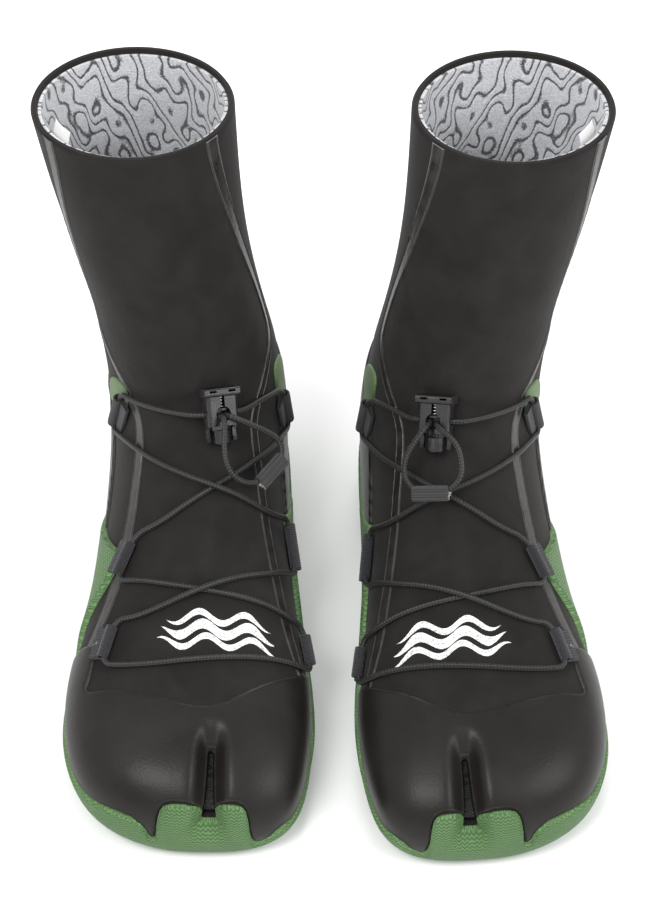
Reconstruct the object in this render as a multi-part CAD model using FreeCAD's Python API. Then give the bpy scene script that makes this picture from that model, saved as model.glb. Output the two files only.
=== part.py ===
import FreeCAD, Part
import math
import os

from FreeCAD import Vector

# A pair of tall split-toe neoprene boots, in millimetres. +Z is up and the toes point to -Y. The origin
# is under the middle of the pair, on the surface that the soles rest on. One boot is drawn in a frame of
# its own, with +X towards the inner side of the foot, and the pair is that boot and its mirror image.

# ---- driving dimensions ----
NEOPRENE = 3.0
LINING = 1.4
INSOLE_TOP = 13.0
RUBBER_CAP = 1.4
SOLE_WALL = 3.0
SEAM_TAPE = 0.5
TAPE_HALF = 2.8
PATCH = 1.3
BOND = 0.12
LABEL = 0.3

CORD = 2.6
WEBBING = 1.0
LOOP_BORE = 3.2
LOOP_LIFT = 3.2
LOOP_TAIL = 8.0

BARREL = 8.4
RUNNING_GAP = 0.3
SPRING_COIL = 2.6
SPRING_WIRE = 0.6
SPRING_TURNS = 3.75
SPRING_SIDES = 10
SPRING_ENDS = (3.7, 8.9)

RIGHT_SHIFT = (-61.84, 7.38)
LEFT_SHIFT = (67.16, 3.38)
LEFT_TURN = 3.6

# ---- the form of one boot ----
# Cross-sections from the nose of the toes to the cuff. Each is a flat oval across the foot:
# front or top (y, z), back or bottom (y, z), half width, side shift, height share of the widest place,
# squareness of the top, squareness of the bottom, inward shift of the crest.
SECTIONS = [
    (-145.5, 19.0, -145.5, 19.0, 0.0, 12.0, 0.50, 2.2, 2.6, 0.0),
    (-144.0, 29.0, -143.8, 10.0, 20.0, 10.5, 0.46, 2.2, 2.8, 0.0),
    (-138.5, 37.0, -138.0, 6.2, 35.0, 8.0, 0.42, 2.3, 3.2, 0.0),
    (-127.0, 44.0, -126.0, 5.2, 46.0, 4.0, 0.40, 2.4, 3.8, 1.0),
    (-108.5, 50.0, -106.5, 5.0, 52.5, 1.0, 0.38, 2.4, 4.2, 2.5),
    (-86.0, 55.5, -84.0, 5.0, 55.0, 0.0, 0.36, 2.3, 4.5, 3.5),
    (-60.0, 63.0, -57.0, 5.0, 53.5, 0.0, 0.34, 2.2, 4.5, 4.5),
    (-33.0, 74.0, -24.0, 5.0, 48.0, 1.0, 0.34, 2.1, 4.5, 5.0),
    (-8.0, 88.0, 21.0, 5.0, 44.0, 1.0, 0.36, 2.0, 4.2, 4.5),
    (11.0, 101.0, 72.0, 5.0, 42.5, 1.0, 0.38, 2.0, 3.8, 3.5),
    (23.0, 112.0, 116.0, 6.0, 42.0, 0.5, 0.42, 2.0, 3.2, 2.5),
    (29.5, 122.0, 134.0, 24.0, 42.0, 0.0, 0.50, 2.0, 2.6, 2.0),
    (33.5, 132.0, 136.5, 50.0, 41.5, -1.2, 0.55, 2.0, 2.3, 1.0),
    (36.5, 143.0, 131.0, 78.0, 41.0, -2.9, 0.56, 2.0, 2.2, 0.5),
    (39.0, 156.0, 124.5, 104.0, 40.0, -5.6, 0.54, 2.0, 2.2, 0.0),
    (41.5, 172.0, 121.5, 132.0, 40.0, -9.9, 0.52, 2.0, 2.1, 0.0),
    (44.0, 191.0, 122.5, 163.0, 41.0, -14.8, 0.50, 2.0, 2.0, 0.0),
    (46.0, 214.0, 125.5, 200.0, 43.0, -19.2, 0.50, 2.0, 2.0, 0.0),
    (47.5, 242.5, 130.0, 243.5, 45.5, -23.0, 0.50, 2.0, 2.0, 0.0),
]
CUFF = len(SECTIONS) - 1
PAST_CUFF = CUFF + 0.3
NOSE = 0.12
AROUND = 40
SOLE_ROUND = 20.0
SOLE_DROP = 4.5

# ---- outlines, in boot coordinates ----
# Seen from the side, as (y, z).
SEAM = [(64, 275), (64, 254), (63, 227), (69, 180), (72, 134), (60, 116), (46, 104), (28, 92), (8, 78),
        (-17, 65), (-37, 56), (-57, 48), (-78, 36), (-96, 14), (-100, -8)]
SOLE_SIDE = [(-165, -8), (-165, 48), (-97, 48), (-97, 19), (-70, 17), (60, 26), (95, 25), (120, 27),
             (160, 30), (160, -8)]
OUTER_WING = [(-56, 10), (-41, 34), (-35, 49), (-29, 59), (-19, 66), (-7, 59), (8, 50), (34, 34), (64, 20)]
INNER_WING = [(-44, 10), (-24, 30), (-5, 41), (6.5, 52), (14, 55), (24, 46), (46, 32), (66, 20)]
HEEL_CAP = [(2, 20), (13, 50), (28, 58), (46, 66), (64, 70), (84, 78), (106, 95), (130, 108), (160, 112),
            (160, 10)]
OUTER_TAB = [(45, 107), (57, 106), (67, 92), (64, 76), (54, 72), (45, 86)]
INNER_TAB = [(60, 107), (73, 105), (86, 92), (90, 76), (76, 66), (62, 82)]
LABEL_SIDE = [(60, 222), (72, 222), (72, 243), (60, 243)]
# Seen from above, as (x, y): the toe cap, with an arm up each side of the foot.
CAP_TOP = [(-80, -165), (80, -165), (80, -60), (57, -60), (51, -77), (30, -90), (13, -102), (-10, -97),
           (-33, -89), (-47, -86), (-44, -77), (-42, -62), (-54, -56), (-80, -56)]
# Seen from the front, as (x, z): the toe cap's lower edge, which runs down in two points.
DRIPS = [(-80, 17), (-50, 19), (-34, 25), (-20, 25), (-13.5, 10), (-12, 27), (-10, 34), (-5, 36), (3, 36),
         (7, 33), (9.5, 23.4), (12.5, 23.4), (15, 33), (19, 36), (26, 35), (29, 31), (30, 14), (33, 7),
         (37, 10), (43, 17), (52, 14), (80, 13), (80, 60), (-80, 60)]
CLEFT = [(7.6, 23.4), (14.4, 23.4), (13.8, 60), (12.2, 60)]
CLEFT_BACK = -118.0
WEB_DEPTH = 12.0
WEB_HALF = 1.0

# ---- webbing loops: both ends of the cord's line through each, as (section, turn in degrees) ----
LOOPS = {
    "loop_outer_top": ((11.02, 140), (9.88, 155)),
    "loop_inner_top": ((11.10, 21), (10.05, 8)),
    "loop_outer_mid": ((7.56, 128), (6.92, 137)),
    "loop_inner_mid": ((8.20, 21.5), (7.40, 13.5)),
    "loop_outer_low": ((6.16, 130), (5.40, 134)),
    "loop_inner_low": ((6.42, 21.5), (5.76, 13.5)),
}
LOOP_BEND = 3.0
LOOP_END = 3.4
LOOP_END_AT_SHARP_TURN = {"loop_outer_top": 5.0, "loop_inner_top": 5.4}

# ---- the lace: (section, turn, height above the skin), or a loop's name and the end it goes in at ----
LACE_OUTER = [(10.14, 98, 5.2), (10.26, 108, 3.4), (10.46, 120, 2.7), (10.72, 132, 2.8)]
LACE = [
    "loop_outer_top in",
    (9.58, 142, 2.8), (9.16, 128, 2.6), (8.75, 112, 2.9), (8.43, 96, 5.0), (8.24, 82, 5.6), (8.12, 68, 4.0),
    (8.02, 52, 2.7), (8.04, 36, 2.9),
    "loop_inner_mid in",
    (7.20, 34, 2.8), (6.95, 52, 2.7), (6.78, 68, 3.2), (6.60, 82, 5.4), (6.42, 95, 5.2), (6.26, 107, 3.0),
    (6.13, 119, 2.8),
    "loop_outer_low in",
    (5.27, 121, 2.8), (5.24, 108, 2.6), (5.29, 92, 2.6), (5.35, 76, 2.6), (5.42, 60, 2.6), (5.50, 44, 2.7),
    (5.58, 29, 3.0),
    "loop_inner_low out",
    (6.38, 37, 2.8), (6.41, 51, 2.6), (6.44, 65, 2.5), (6.48, 79, 2.5), (6.54, 93, 2.5), (6.64, 107, 2.6),
    (6.78, 121, 2.8),
    "loop_outer_mid out",
    (7.66, 113, 2.8), (7.92, 99, 2.5), (8.20, 85, 2.4), (8.52, 70, 2.5), (8.92, 54, 2.6), (9.32, 38, 2.8),
    (9.68, 26, 3.0),
    "loop_inner_top out",
]
LACE_INNER = [(10.86, 38, 2.8), (10.62, 50, 3.2), (10.40, 60, 5.4)]

# ---- the cord lock, in its own frame: across (inner side +), up the instep, away from the skin ----
LOCK_PLACE = (10.10, 78)
LOCK_LIFT = 1.2
BORE = (0.5, 6.2)
FACE = 10.6
# The tail cord and its pull tab, in a frame at the lock's face hole, leaned towards the inner side.
TAIL_LEAN = {"right": 12.0, "left": -4.0}
TAIL = {
    "right": [(-1.5, -0.8, -2.2), (-1.6, -0.9, 1.2), (-2.1, -2.8, 3.8), (-3.2, -7.4, 5.0), (-4.2, -14.0, 5.0),
              (-4.0, -21.0, 4.9), (-1.4, -27.4, 4.9), (4.0, -31.8, 4.9), (10.6, -33.4, 4.9),
              (17.6, -31.2, 4.9), (24.0, -26.4, 4.9), (27.6, -20.4, 4.9), (25.6, -14.4, 5.0),
              (19.6, -10.4, 5.2), (12.6, -6.8, 5.3), (6.4, -3.6, 4.9), (2.8, -1.6, 3.4), (1.6, -0.8, 0.6),
              (1.5, -0.7, -2.2)],
    "left": [(-1.5, -0.8, -2.2), (-1.7, -0.9, 1.0), (-3.8, -2.2, 3.6), (-8.2, -4.8, 5.0), (-13.0, -9.4, 5.2),
             (-15.2, -16.2, 5.1), (-15.6, -23.4, 4.9), (-11.6, -29.2, 4.9), (-5.0, -32.2, 4.9),
             (2.2, -32.8, 4.9), (8.6, -30.0, 4.9), (11.8, -24.0, 5.0), (11.2, -17.2, 5.1),
             (8.0, -10.8, 5.2), (4.6, -5.6, 5.0), (2.6, -2.2, 3.6), (1.6, -0.9, 0.8), (1.5, -0.7, -2.2)],
}
TAB_RUNS = {"right": (9, 10), "left": (8, 9)}
TAB = (17.0, 7.0, 4.4)


# ---- the boot's surface ----
def spline_bends(values):
    """Second differences of the smooth curve through evenly spaced values."""
    count = len(values)
    carry = [0.0] * count
    right = [0.0] * count
    for i in range(1, count - 1):
        scale = 4.0 - carry[i - 1]
        carry[i] = 1.0 / scale
        right[i] = (6.0 * (values[i - 1] - 2.0 * values[i] + values[i + 1]) - right[i - 1]) / scale
    bends = [0.0] * count
    for i in range(count - 2, 0, -1):
        bends[i] = right[i] - carry[i] * bends[i + 1]
    return bends


COLUMNS = list(zip(*SECTIONS))
BENDS = [spline_bends(column) for column in COLUMNS]


def section(place):
    """The ten numbers of the cross-section at a place between 0, the nose, and CUFF."""
    i = min(max(int(place), 0), len(SECTIONS) - 2)
    u = place - i
    v = 1.0 - u
    numbers = []
    for column, bends in zip(COLUMNS, BENDS):
        smooth = ((v ** 3 - v) * bends[i] + (u ** 3 - u) * bends[i + 1]) / 6.0
        numbers.append(column[i] * v + column[i + 1] * u + smooth)
    return numbers


def form(place, turn):
    """A point of the neoprene's outer surface. Turn is 0 on the inner side and 90 degrees on the crest."""
    ty, tz, by, bz, half, shift, share, square_top, square_low, crest = section(place)
    c = math.cos(turn)
    s = math.sin(turn)
    square = square_top if s >= 0 else square_low
    reach = (abs(c) ** square + abs(s) ** square) ** (-1.0 / square)
    part = ((1.0 - share) if s >= 0 else share) * reach * s
    x = shift + half * reach * c + crest * max(s, 0.0) ** 2
    return Vector(x, by + (ty - by) * (share + part), bz + (tz - bz) * (share + part))


def normal(place, turn):
    """The direction straight out of the surface."""
    step = 0.004
    along = form(place + step, turn) - form(place - step, turn)
    across = form(place, turn + step) - form(place, turn - step)
    out = across.cross(along)
    if place >= CUFF - 1:
        ty, tz, by, bz = section(place)[:4]
        flat = Vector(1, 0, 0).cross(Vector(0, ty - by, tz - bz)).normalize()
        out = out - flat * out.dot(flat)
    return out.normalize() * OUTWARD


OUTWARD = 1.0
if normal(5.0, math.pi / 2).z < 0:
    OUTWARD = -1.0


def skin(place, degrees, height=0.0):
    """A point at a height above the neoprene's outer surface."""
    turn = math.radians(degrees)
    return form(place, turn) + normal(place, turn) * height


def level(height, top=CUFF, sole=False):
    """The closed solid inside the surface that stands at a height above the neoprene."""
    places = [NOSE, 0.35, 0.65] + [1.0 + 0.5 * i for i in range(int(2 * CUFF) - 1)]
    places[-1] = top
    turns = [2.0 * math.pi * j / AROUND for j in range(AROUND)]
    shares = [j / AROUND for j in range(AROUND + 1)]
    rings = []
    for place in places:
        points = []
        for turn in turns:
            if place == NOSE:
                point = form(place, turn) + Vector(0, -height, 0)
            else:
                point = form(place, turn) + normal(place, turn) * height
            if sole and place > NOSE and point.z < SOLE_ROUND:
                low = (SOLE_ROUND - point.z) / SOLE_ROUND
                point.z = point.z - SOLE_DROP * low * low
            points.append(point)
        ring = Part.BSplineCurve()
        ring.interpolate(Points=points, PeriodicFlag=True, Parameters=shares)
        rings.append(ring)
    rows = [ring.getPoles() for ring in rings]
    net = []
    for j in range(len(rows[0])):
        line = Part.BSplineCurve()
        line.interpolate(Points=[row[j] for row in rows], Parameters=places)
        net.append(line.getPoles())
    surface = Part.BSplineSurface()
    surface.buildFromPolesMultsKnots(net, rings[0].getMultiplicities(), line.getMultiplicities(),
                                     rings[0].getKnots(), line.getKnots(), True, False, 3, 3)
    faces = [surface.toShape()]
    for place in (places[0], places[-1]):
        faces.append(Part.Face(Part.Wire([surface.vIso(place).toShape()])))
    solid = Part.Solid(Part.Shell(faces))
    if solid.Volume < 0:
        solid.reverse()
    return solid


# ---- straight-sided cutters ----
def prism(outline, low, high, axis):
    """An outline pushed along X, Y or Z between two places."""
    points = []
    for a, b in outline:
        points.append({"x": Vector(low, a, b), "y": Vector(a, low, b), "z": Vector(a, b, low)}[axis])
    direction = {"x": Vector(1, 0, 0), "y": Vector(0, 1, 0), "z": Vector(0, 0, 1)}[axis]
    face = Part.Face(Part.makePolygon(points + points[:1]))
    return face.extrude(direction * (high - low))


def band(line, half):
    """The outline of a strip along a line of points, seen from the side."""
    left = []
    right = []
    for i in range(1, len(line) - 1):
        (y0, z0), (y1, z1) = line[i - 1], line[i + 1]
        length = math.hypot(y1 - y0, z1 - z0)
        dy = -(z1 - z0) / length * half
        dz = (y1 - y0) / length * half
        left.append((line[i][0] + dy, line[i][1] + dz))
        right.append((line[i][0] - dy, line[i][1] - dz))
    return left + right[::-1]


def box(low, high):
    """A box between two corners."""
    size = [high[i] - low[i] for i in range(3)]
    return Part.makeBox(size[0], size[1], size[2], Vector(*low))


def largest(shape):
    """The biggest solid of a shape, without the crumbs that a cut may leave."""
    return max(shape.Solids, key=lambda solid: solid.Volume)


def framed(shape, origin, across, away):
    """Puts a shape drawn about its own axes at an origin, with its X across and its Z away."""
    up = away.cross(across)
    turned = shape.copy()
    place = FreeCAD.Placement(origin, FreeCAD.Rotation(across, up, away, "ZXY"))
    turned.Placement = place.multiply(turned.Placement)
    return turned


# ---- the sock, the soles and the caps ----
def soft_pieces():
    """Every piece that follows the boot's surface."""
    core = level(BOND, PAST_CUFF)
    outside = level(0.0)
    inside = level(-NEOPRENE, PAST_CUFF)
    front_side = prism([(-175, -8), (-175, 275)] + SEAM, -90, 90, "x")
    cleft = prism(CLEFT, -175, CLEFT_BACK, "y")
    sock = outside.cut(inside)

    sole_zone = prism(SOLE_SIDE, -90, 90, "x")
    sole_zone = sole_zone.fuse(prism(OUTER_WING, -90, -8, "x"))
    sole_zone = sole_zone.fuse(prism(INNER_WING, 8, 90, "x"))
    sole_zone = sole_zone.cut(prism(DRIPS, -175, -97, "y"))
    sole = level(SOLE_WALL, CUFF, sole=True).common(sole_zone).cut(core)
    sole = largest(sole.cut(box((-90, -175, -20), (90, 175, 0))).cut(cleft))

    cap_zone = prism(CAP_TOP, -8, 70, "z")
    cap = level(RUBBER_CAP).common(cap_zone).cut(core).cut(sole_zone).cut(cleft)
    heel_zone = prism(HEEL_CAP, -90, 90, "x")
    heel = level(RUBBER_CAP).common(heel_zone).cut(core).cut(sole_zone)

    tab_outer_zone = prism(OUTER_TAB, -90, -8, "x")
    tab_inner_zone = prism(INNER_TAB, 8, 90, "x")
    patch = level(PATCH)
    tab_outer = patch.common(tab_outer_zone).cut(core).cut(heel_zone)
    tab_inner = patch.common(tab_inner_zone).cut(core).cut(heel_zone)

    tape = level(SEAM_TAPE).common(prism(band(SEAM, TAPE_HALF), -90, 90, "x")).cut(core)
    for zone in (sole_zone, cap_zone, heel_zone, tab_outer_zone, tab_inner_zone):
        tape = tape.cut(zone)

    front = sock.common(front_side).cut(cleft)
    rear = sock.cut(front_side)
    slot_web = prism([(CLEFT[0][0] + 0.2, 24), (CLEFT[1][0] - 0.2, 24), (13.6, 60), (12.4, 60)],
                     -175, CLEFT_BACK - 0.2, "y")
    trough = slot_web.common(level(-1.2)).cut(level(-NEOPRENE + 0.1))
    web_middle = (CLEFT[0][0] + CLEFT[1][0]) / 2 + 0.8
    fin = box((web_middle - WEB_HALF, -175, 26), (web_middle + WEB_HALF, CLEFT_BACK - 1, 60))
    fin = fin.common(level(-1.3)).cut(level(-WEB_DEPTH))
    divider = largest(trough.fuse(fin).removeSplitter())
    fin_room = box((web_middle - WEB_HALF - 0.2, -175, 25.8), (web_middle + WEB_HALF + 0.2, CLEFT_BACK, 60))
    lining = level(-NEOPRENE - BOND).cut(level(-NEOPRENE - BOND - LINING, PAST_CUFF)).cut(fin_room)
    foot_bed = level(-NEOPRENE - LINING - 2 * BOND).common(box((-90, -175, 0), (90, 175, INSOLE_TOP)))
    label_zone = prism(LABEL_SIDE, -90, -20, "x")
    label_out = level(-NEOPRENE - LINING - 2 * BOND).common(label_zone)
    label = label_out.cut(level(-NEOPRENE - LINING - 2 * BOND - LABEL, PAST_CUFF))
    return {
        "outsole": sole,
        "toe_cap": largest(cap),
        "toe_divider": divider,
        "heel_cap": largest(heel),
        "front_panel": largest(front),
        "rear_panel": largest(rear),
        "lining": largest(lining),
        "insole": largest(foot_bed),
        "seam_tapes": keep_solids(tape, 60.0),
        "outer_top_tab": largest(tab_outer),
        "inner_top_tab": largest(tab_inner),
        "care_label": largest(label),
    }


def keep_solids(shape, least):
    """A group of a shape's solids that are larger than the least volume."""
    return Part.Compound([solid for solid in shape.Solids if solid.Volume > least])


# ---- webbing loops ----
def loop_line(name):
    """Both ends of the cord's straight line through a loop."""
    first, last = LOOPS[name]
    start = skin(first[0], first[1], LOOP_LIFT)
    end = skin(last[0], last[1], LOOP_LIFT)
    return start, end


def webbing_loop(name, keep_clear):
    """A strip of webbing folded round the cord and sewn down behind it."""
    first, last = LOOPS[name]
    start, end = loop_line(name)
    length = (end - start).Length - 2 * LOOP_END_AT_SHARP_TURN.get(name, LOOP_END)
    along = (end - start).normalize()
    middle_place = (first[0] + last[0]) / 2
    middle_turn = math.radians((first[1] + last[1]) / 2)
    away = normal(middle_place, middle_turn)
    away = (away - along * away.dot(along)).normalize()
    crest = 1.0 if first[1] > 90 else -1.0
    bore = LOOP_BORE / 2
    fold = Part.makeCylinder(bore + WEBBING, length, Vector(-length / 2, 0, 0), Vector(1, 0, 0))
    low = -bore - WEBBING
    back = crest * LOOP_TAIL
    strap = box((-length / 2, min(0, back), low), (length / 2, max(0, back), low + 2 * WEBBING))
    hole = Part.makeCylinder(bore, length + 2, Vector(-length / 2 - 1, 0, 0), Vector(1, 0, 0))
    shape = fold.fuse(strap).cut(hole)
    if (away.cross(along)).z * crest > 0:
        shape = shape.mirror(Vector(0, 0, 0), Vector(0, 1, 0))
    placed = framed(shape, (start + end) * 0.5, along, away)
    for solid in keep_clear:
        placed = placed.cut(solid)
    return largest(placed)


# ---- cords ----
def cord_path(points, caps):
    """Straight runs joined by tangent arcs. A cap is the largest bend radius at a point."""
    edges = []
    radii = []
    start = points[0]
    for i in range(1, len(points) - 1):
        before = points[i - 1] - points[i]
        after = points[i + 1] - points[i]
        turn = math.pi - before.getAngle(after)
        radius = 0.45 * min(before.Length, after.Length) / math.tan(turn / 2)
        radius = min(radius, caps.get(i, radius))
        setback = radius * math.tan(turn / 2)
        before.normalize()
        after.normalize()
        enter = points[i] + before * setback
        leave = points[i] + after * setback
        bisector = (before + after).normalize()
        middle = points[i] + bisector * (radius / math.cos(turn / 2) - radius)
        edges.append(Part.LineSegment(start, enter).toShape())
        edges.append(Part.Arc(enter, middle, leave).toShape())
        radii.append(radius)
        start = leave
    edges.append(Part.LineSegment(start, points[-1]).toShape())
    return Part.Wire(edges), radii


def tube_along(path, points, diameter):
    """A round bar along a path that starts at the first of the points."""
    ring = Part.Wire([Part.makeCircle(diameter / 2, points[0], points[1] - points[0])])
    return path.makePipeShell([ring], True, False)


def cord_tube(name, points, caps):
    """A round cord along its route."""
    path, radii = cord_path(points, caps)
    tube = tube_along(path, points, CORD)
    share = tube.Volume / (math.pi * CORD * CORD / 4 * path.Length)
    print(name, "length", round(path.Length, 1), "volume share", round(share, 4), "valid", tube.isValid(),
          "radii", [round(radius, 1) for radius in radii])
    return tube


def lock_frame():
    """Origin and axes of the cord lock: across, up the instep and away from the skin."""
    place, degrees = LOCK_PLACE
    origin = skin(place, degrees, LOCK_LIFT)
    away = normal(place, math.radians(degrees))
    up = skin(place + 0.2, degrees) - skin(place - 0.2, degrees)
    up = (up - away * up.dot(away)).normalize()
    return origin, up.cross(away), away


def lock_point(across, up, away):
    """A point given in the cord lock's frame."""
    origin, side, out = lock_frame()
    return origin + side * across + out.cross(side) * up + out * away


def lace():
    """The lace, from the lock out to one side, down through the loops and back up to the lock."""
    points = [lock_point(-2.0, BORE[0], BORE[1]), lock_point(-10.5, BORE[0], BORE[1])]
    points += [skin(*spot) for spot in LACE_OUTER]
    caps = {}
    for stop in LACE:
        if isinstance(stop, str):
            name, way = stop.split()
            ends = loop_line(name)
            if way == "out":
                ends = ends[::-1]
            for end in ends:
                caps[len(points)] = LOOP_BEND
                points.append(end)
        else:
            points.append(skin(*stop))
    points += [skin(*spot) for spot in LACE_INNER]
    points += [lock_point(10.5, BORE[0], BORE[1]), lock_point(2.0, BORE[0], BORE[1])]
    return cord_tube("lace", points, caps)


# ---- the cord lock ----
def cylinder_up(radius, low, high):
    """A cylinder along the lock's length, centred on its bore."""
    return Part.makeCylinder(radius, high - low, Vector(0, low, BORE[1]), Vector(0, 1, 0))


def lock_pieces():
    """The lock's body, its sprung plunger and the spring between them."""
    origin, side, out = lock_frame()
    bore_up, bore_away = BORE
    body = box((-7.4, -5.0, 1.4), (7.4, 10.4, FACE))
    body = body.makeFillet(1.6, [edge for edge in body.Edges if is_along(edge, 1)])
    bar = box((-8.6, 8.6, 1.0), (8.6, 12.6, FACE + 0.9))
    bar = bar.makeFillet(1.2, [edge for edge in bar.Edges if is_along(edge, 0)])
    for x in (-6.3, 2.9):
        bar = bar.cut(box((x, 10.6, 0), (x + 3.4, 11.6, 15)))
    wedge = Part.Face(Part.makePolygon([Vector(-5.6, 9.0, FACE - 1), Vector(-5.6, -12.4, FACE - 5.0),
                                        Vector(-5.6, -12.4, 3.4), Vector(-5.6, 9.0, 2.4),
                                        Vector(-5.6, 9.0, FACE - 1)]))
    body = body.fuse(bar)
    for x in (-7.4, 5.6):
        skirt = wedge.copy()
        skirt.translate(Vector(x + 5.6, 0, 0))
        body = body.fuse(skirt.extrude(Vector(1.8, 0, 0)))
    body = body.cut(box((-9, -10.6, 5.2), (9, -6.4, 6.8)))
    body = body.cut(cylinder_up(BARREL / 2 + RUNNING_GAP, -16, 9.4))
    cross_bore = Part.makeCylinder(CORD / 2 + 0.4, 20, Vector(-10, bore_up, bore_away), Vector(1, 0, 0))
    body = body.cut(cross_bore)
    body = body.cut(Part.makeCylinder(3.6, 8, Vector(0, bore_up, bore_away), Vector(0, 0, 1)))
    body = largest(body.removeSplitter())

    plunger = cylinder_up(BARREL / 2, -14.6, 3.2)
    tip = [edge for edge in plunger.Edges if abs(edge.BoundBox.YMax + 14.6) < 0.1 and edge.Length > 20]
    plunger = plunger.makeFillet(2.4, tip)
    plunger = plunger.cut(box((-6, -7.2, bore_away - 1.8), (6, 2.2, 14)))

    coil = []
    steps = int(SPRING_TURNS * SPRING_SIDES)
    for i in range(steps + 1):
        turn = 2.0 * math.pi * i / SPRING_SIDES
        rise = SPRING_ENDS[0] + (SPRING_ENDS[1] - SPRING_ENDS[0]) * i / steps
        coil.append(Vector(SPRING_COIL * math.cos(turn), rise, bore_away + SPRING_COIL * math.sin(turn)))
    spring = tube_along(cord_path(coil, {})[0], coil, SPRING_WIRE)
    print("spring volume", round(spring.Volume, 2), "valid", spring.isValid())
    return {
        "cord_lock_body": framed(body, origin, side, out),
        "cord_lock_plunger": framed(largest(plunger), origin, side, out),
        "cord_lock_spring": framed(spring, origin, side, out),
    }


def is_along(edge, axis):
    """Whether a straight edge runs along an axis, 0 for X, 1 for Y and 2 for Z."""
    span = edge.lastVertex().Point - edge.firstVertex().Point
    return abs(abs(span[axis]) - span.Length) < 1e-6


def tail_frame(side_name):
    """Origin and axes of the swinging tail, at the lock's face hole."""
    lean = math.radians(TAIL_LEAN[side_name])
    origin, side, out = lock_frame()
    across = side * math.cos(lean) - out * math.sin(lean)
    away = out * math.cos(lean) + side * math.sin(lean)
    return lock_point(0, BORE[0], FACE), across, away


def tail_pieces(side_name):
    """The cord that comes out of the lock's face, runs through the pull tab and goes back in."""
    origin, across, away = tail_frame(side_name)
    up = away.cross(across)
    points = [origin + across * a + up * b + away * c for a, b, c in TAIL[side_name]]
    tail = cord_tube(side_name + " tail", points, {})
    first, last = TAB_RUNS[side_name]
    along = (points[last] - points[first]).normalize()
    middle = (points[first] + points[last]) * 0.5
    length, width, thick = TAB
    tab = box((-length / 2, -width / 2, -thick / 2), (length / 2, width / 2, thick / 2))
    tab = tab.makeFillet(1.4, [edge for edge in tab.Edges if is_along(edge, 0)])
    tab = framed(tab, middle, along, away).cut(tail)
    return {"tail_cord": tail, "pull_tab": largest(tab)}


# ---- the pair ----
def boot_pieces():
    """Every piece of one boot but the tail, in the boot's own frame."""
    pieces = soft_pieces()
    pieces["lace"] = lace()
    # The cord presses a shallow groove into the webbing where it turns sharply round a loop's end.
    clear_of = [level(BOND), pieces["outsole"], pieces["toe_cap"], pieces["heel_cap"],
                pieces["outer_top_tab"], pieces["inner_top_tab"], pieces["seam_tapes"], pieces["lace"]]
    for name in LOOPS:
        pieces[name] = webbing_loop(name, clear_of)
    pieces.update(lock_pieces())
    return pieces


def placed(shape, side_name):
    """Moves a shape from the boot's frame to its place in the pair."""
    if side_name == "right":
        moved = shape.copy()
        moved.translate(Vector(RIGHT_SHIFT[0], RIGHT_SHIFT[1], 0))
        return moved
    moved = shape.mirror(Vector(0, 0, 0), Vector(1, 0, 0))
    moved.rotate(Vector(0, 0, 0), Vector(0, 0, 1), LEFT_TURN)
    moved.translate(Vector(LEFT_SHIFT[0], LEFT_SHIFT[1], 0))
    return moved


def main():
    os.makedirs("parts", exist_ok=True)
    pieces = boot_pieces()
    for side_name in ("right", "left"):
        own = dict(pieces)
        own.update(tail_pieces(side_name))
        for name, shape in own.items():
            placed(shape, side_name).exportStep("parts/" + side_name + "_" + name + ".step")


main()
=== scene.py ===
import math

import bmesh
import bpy
import numpy as np
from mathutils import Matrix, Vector


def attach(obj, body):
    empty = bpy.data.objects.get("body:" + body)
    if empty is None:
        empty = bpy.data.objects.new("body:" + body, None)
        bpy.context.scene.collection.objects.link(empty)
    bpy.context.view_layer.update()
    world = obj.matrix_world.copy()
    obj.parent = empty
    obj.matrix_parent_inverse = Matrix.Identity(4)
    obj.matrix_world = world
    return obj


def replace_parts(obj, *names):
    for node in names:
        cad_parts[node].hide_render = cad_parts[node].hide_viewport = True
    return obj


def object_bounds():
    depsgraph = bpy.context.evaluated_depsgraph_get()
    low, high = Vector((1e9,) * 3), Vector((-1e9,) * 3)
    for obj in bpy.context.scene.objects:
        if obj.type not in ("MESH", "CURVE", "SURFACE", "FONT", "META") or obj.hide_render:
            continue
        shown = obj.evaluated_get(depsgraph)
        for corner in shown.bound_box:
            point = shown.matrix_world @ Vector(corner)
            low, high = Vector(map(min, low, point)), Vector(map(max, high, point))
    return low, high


# A pair of tall split-toe neoprene boots. The shape tables are in millimetres, in one boot's own frame,
# as in the CAD source. Every mesh is made in that frame and put in its place in the pair in metres.

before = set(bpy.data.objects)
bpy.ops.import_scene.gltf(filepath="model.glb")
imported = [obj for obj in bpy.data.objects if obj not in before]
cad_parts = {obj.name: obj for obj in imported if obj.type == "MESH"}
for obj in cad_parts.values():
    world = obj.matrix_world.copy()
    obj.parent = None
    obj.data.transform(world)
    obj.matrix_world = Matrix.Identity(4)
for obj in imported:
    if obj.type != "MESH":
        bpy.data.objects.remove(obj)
cad_low, cad_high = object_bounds()
cad_low, cad_high = list(cad_low), list(cad_high)

NEOPRENE = 3.0
LINING = 1.4
INSOLE_TOP = 13.0
RUBBER_CAP = 1.4
SOLE_WALL = 3.0
SEAM_TAPE = 0.5
TAPE_HALF = 2.8
PATCH = 1.3
BOND = 0.12
LABEL = 0.3
CORD = 2.6
WEBBING = 1.0
LOOP_BORE = 3.2
LOOP_LIFT = 3.2
LOOP_TAIL = 8.0
RIGHT_SHIFT = (-61.84, 7.38)
LEFT_SHIFT = (67.16, 3.38)
LEFT_TURN = 3.6

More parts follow.
